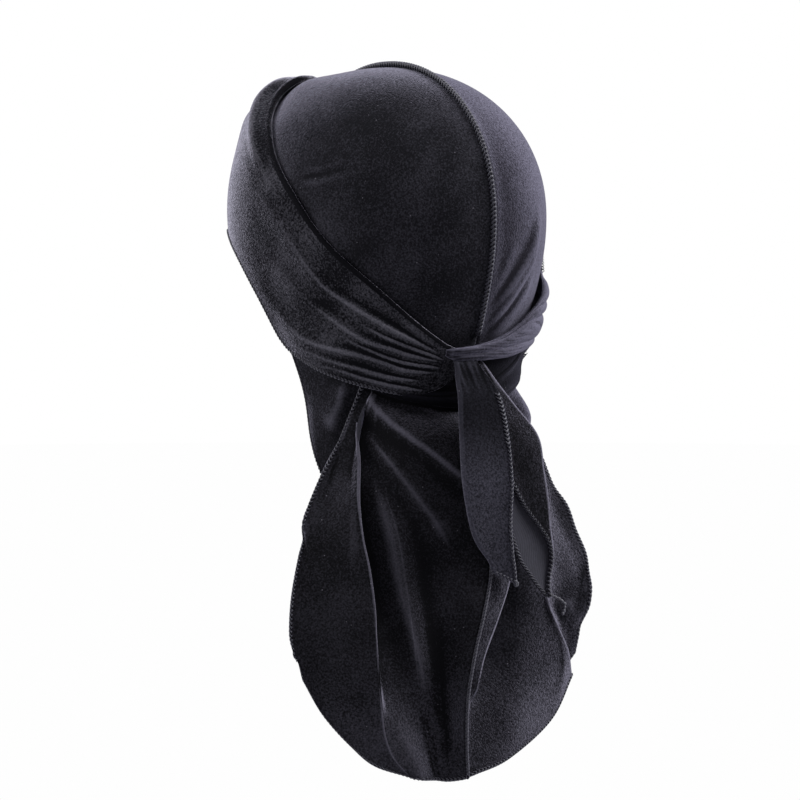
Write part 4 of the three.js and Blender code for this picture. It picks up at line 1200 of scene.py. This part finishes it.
# %% [markdown]
# The overlock thread runs on past the cloth at each point. One end is knotted short, and the other is a
# free tail of thread. Each is a tube along a path, a little uneven as twisted thread is.

# %% Thread tails
def thread_tail(name, path, radius):
    """A tail of thread along a path, thinner at both ends."""
    path = np.array(path, float)
    fine = np.stack([np.interp(np.linspace(0, len(path) - 1, 40), np.arange(len(path)), path[:, k])
                     for k in range(3)], -1)
    way = unit(np.gradient(fine, axis=0))
    first = unit(np.cross(way, [0.3, 0.2, 0.9]))
    second = np.cross(way, first)
    size = radius * (1 + 0.25 * np.sin(np.arange(40) * 1.4))
    size[[0, -1]] *= 0.5
    thread_piece(name, [tubes(fine[None], first[None], second[None], size[None], size[None], sides=8)])


thread_tail("tie_end_behind_thread_tail",
            [(-28, 103, -189), (-31, 104, -190), (-34, 105, -191.5), (-36.5, 106, -194),
             (-36, 106.3, -197), (-34.6, 106.3, -199.5)], 0.75)
turn = np.linspace(0, 2.4 * np.pi, 22)
loops = np.stack([-3.2 + 0.9 * np.cos(turn), 109.6 + 0.1 * turn, -181.0 + 0.9 * np.sin(turn)], -1)
thread_tail("tie_end_front_thread_knot", loops, 0.7)

# %% [markdown]
# ## Light and floor
# Black velvet is lit from the sides, so that the pile answers at a grazing angle and the folds are
# modelled by shade. There is one large soft lamp on each side, a little towards the camera, a weaker
# one above, and a plain pale surround. A backdrop sheet would do too, but a surround has no edge in any
# view.

# %% Lamps
def lamp(name, place, size, power):
    """A round soft lamp that shines on the durag's middle: size in metres, power in watts."""
    data = bpy.data.lights.new(name, "AREA")
    data.shape = "DISK"
    data.size = size
    data.energy = power
    piece = bpy.data.objects.new(name, data)
    bpy.context.scene.collection.objects.link(piece)
    piece.location = place
    way = np.array([0, 0, -0.1]) - place
    flat = math.hypot(way[0], way[1])
    piece.rotation_euler = (math.atan2(flat, -way[2]), 0, math.atan2(way[1], way[0]) - math.pi / 2)
    print(f"{name}: {power} W, {size} m across")


lamp("lamp_right", shot_right * 1.4 + shot_back * 0.2 + np.array([0, 0, 0.9]), 1.0, 44)
lamp("lamp_left", shot_right * -1.5 + shot_back * 0.1 + np.array([0, 0, 0.6]), 1.1, 30)
lamp("lamp_top", shot_back * 0.2 + np.array([0, 0, 1.6]), 1.2, 14)

# %% [markdown]
# The surround is bright where the camera looks at it and dim where it lights the cloth, so black velvet
# keeps its depth. The floor is matt grey paint to the light that falls on it and white to the camera.

# %% Surround and floor
world = bpy.data.worlds.new("studio_surround")
bpy.context.scene.world = world
world.use_nodes = True
sky = world.node_tree
seen = sky.nodes["Background"]
seen.inputs["Color"].default_value = linear("#ffffff")
seen.inputs["Strength"].default_value = 1.0
filling = add(sky, "Background", {"Color": linear("#f4f4fb"), "Strength": 0.45})
ray = add(sky, "LightPath", {})
both = add(sky, "MixShader", {}, i0=ray.outputs["Is Camera Ray"], i1=filling.outputs[0],
           i2=seen.outputs[0])
sky.links.new(both.outputs[0], sky.nodes["World Output"].inputs[0])

bpy.ops.mesh.primitive_circle_add(vertices=96, radius=6, fill_type="NGON", location=(0, 0, -0.62))
floor = bpy.context.object
floor.name = "studio_floor"
floor_material, tree, output = new_material("matt_floor_paint")
place = add(tree, "TexCoord", {})
tone = add(tree, "TexNoise", {"Scale": 3.0, "Detail": 2.0}, Vector=place.outputs["Object"])
colour = add(tree, "Mix", {"data_type": "RGBA", 6: linear("#b4b4b8"), 7: linear("#bcbcc0")},
             i0=tone.outputs["Fac"])
shader = add(tree, "BsdfPrincipled", {"Roughness": 0.9, "Specular IOR Level": 0.1},
             Base_Color=colour.outputs[2])
bright = add(tree, "Emission", {"Color": linear("#fefefe"), "Strength": 1.0})
ray = add(tree, "LightPath", {})
both = add(tree, "MixShader", {}, i0=ray.outputs["Is Camera Ray"], i1=shader.outputs[0],
           i2=bright.outputs[0])
tree.links.new(both.outputs[0], output.inputs[0])
floor.data.materials.append(floor_material)
bpy.context.scene.view_settings.view_transform = "Standard"
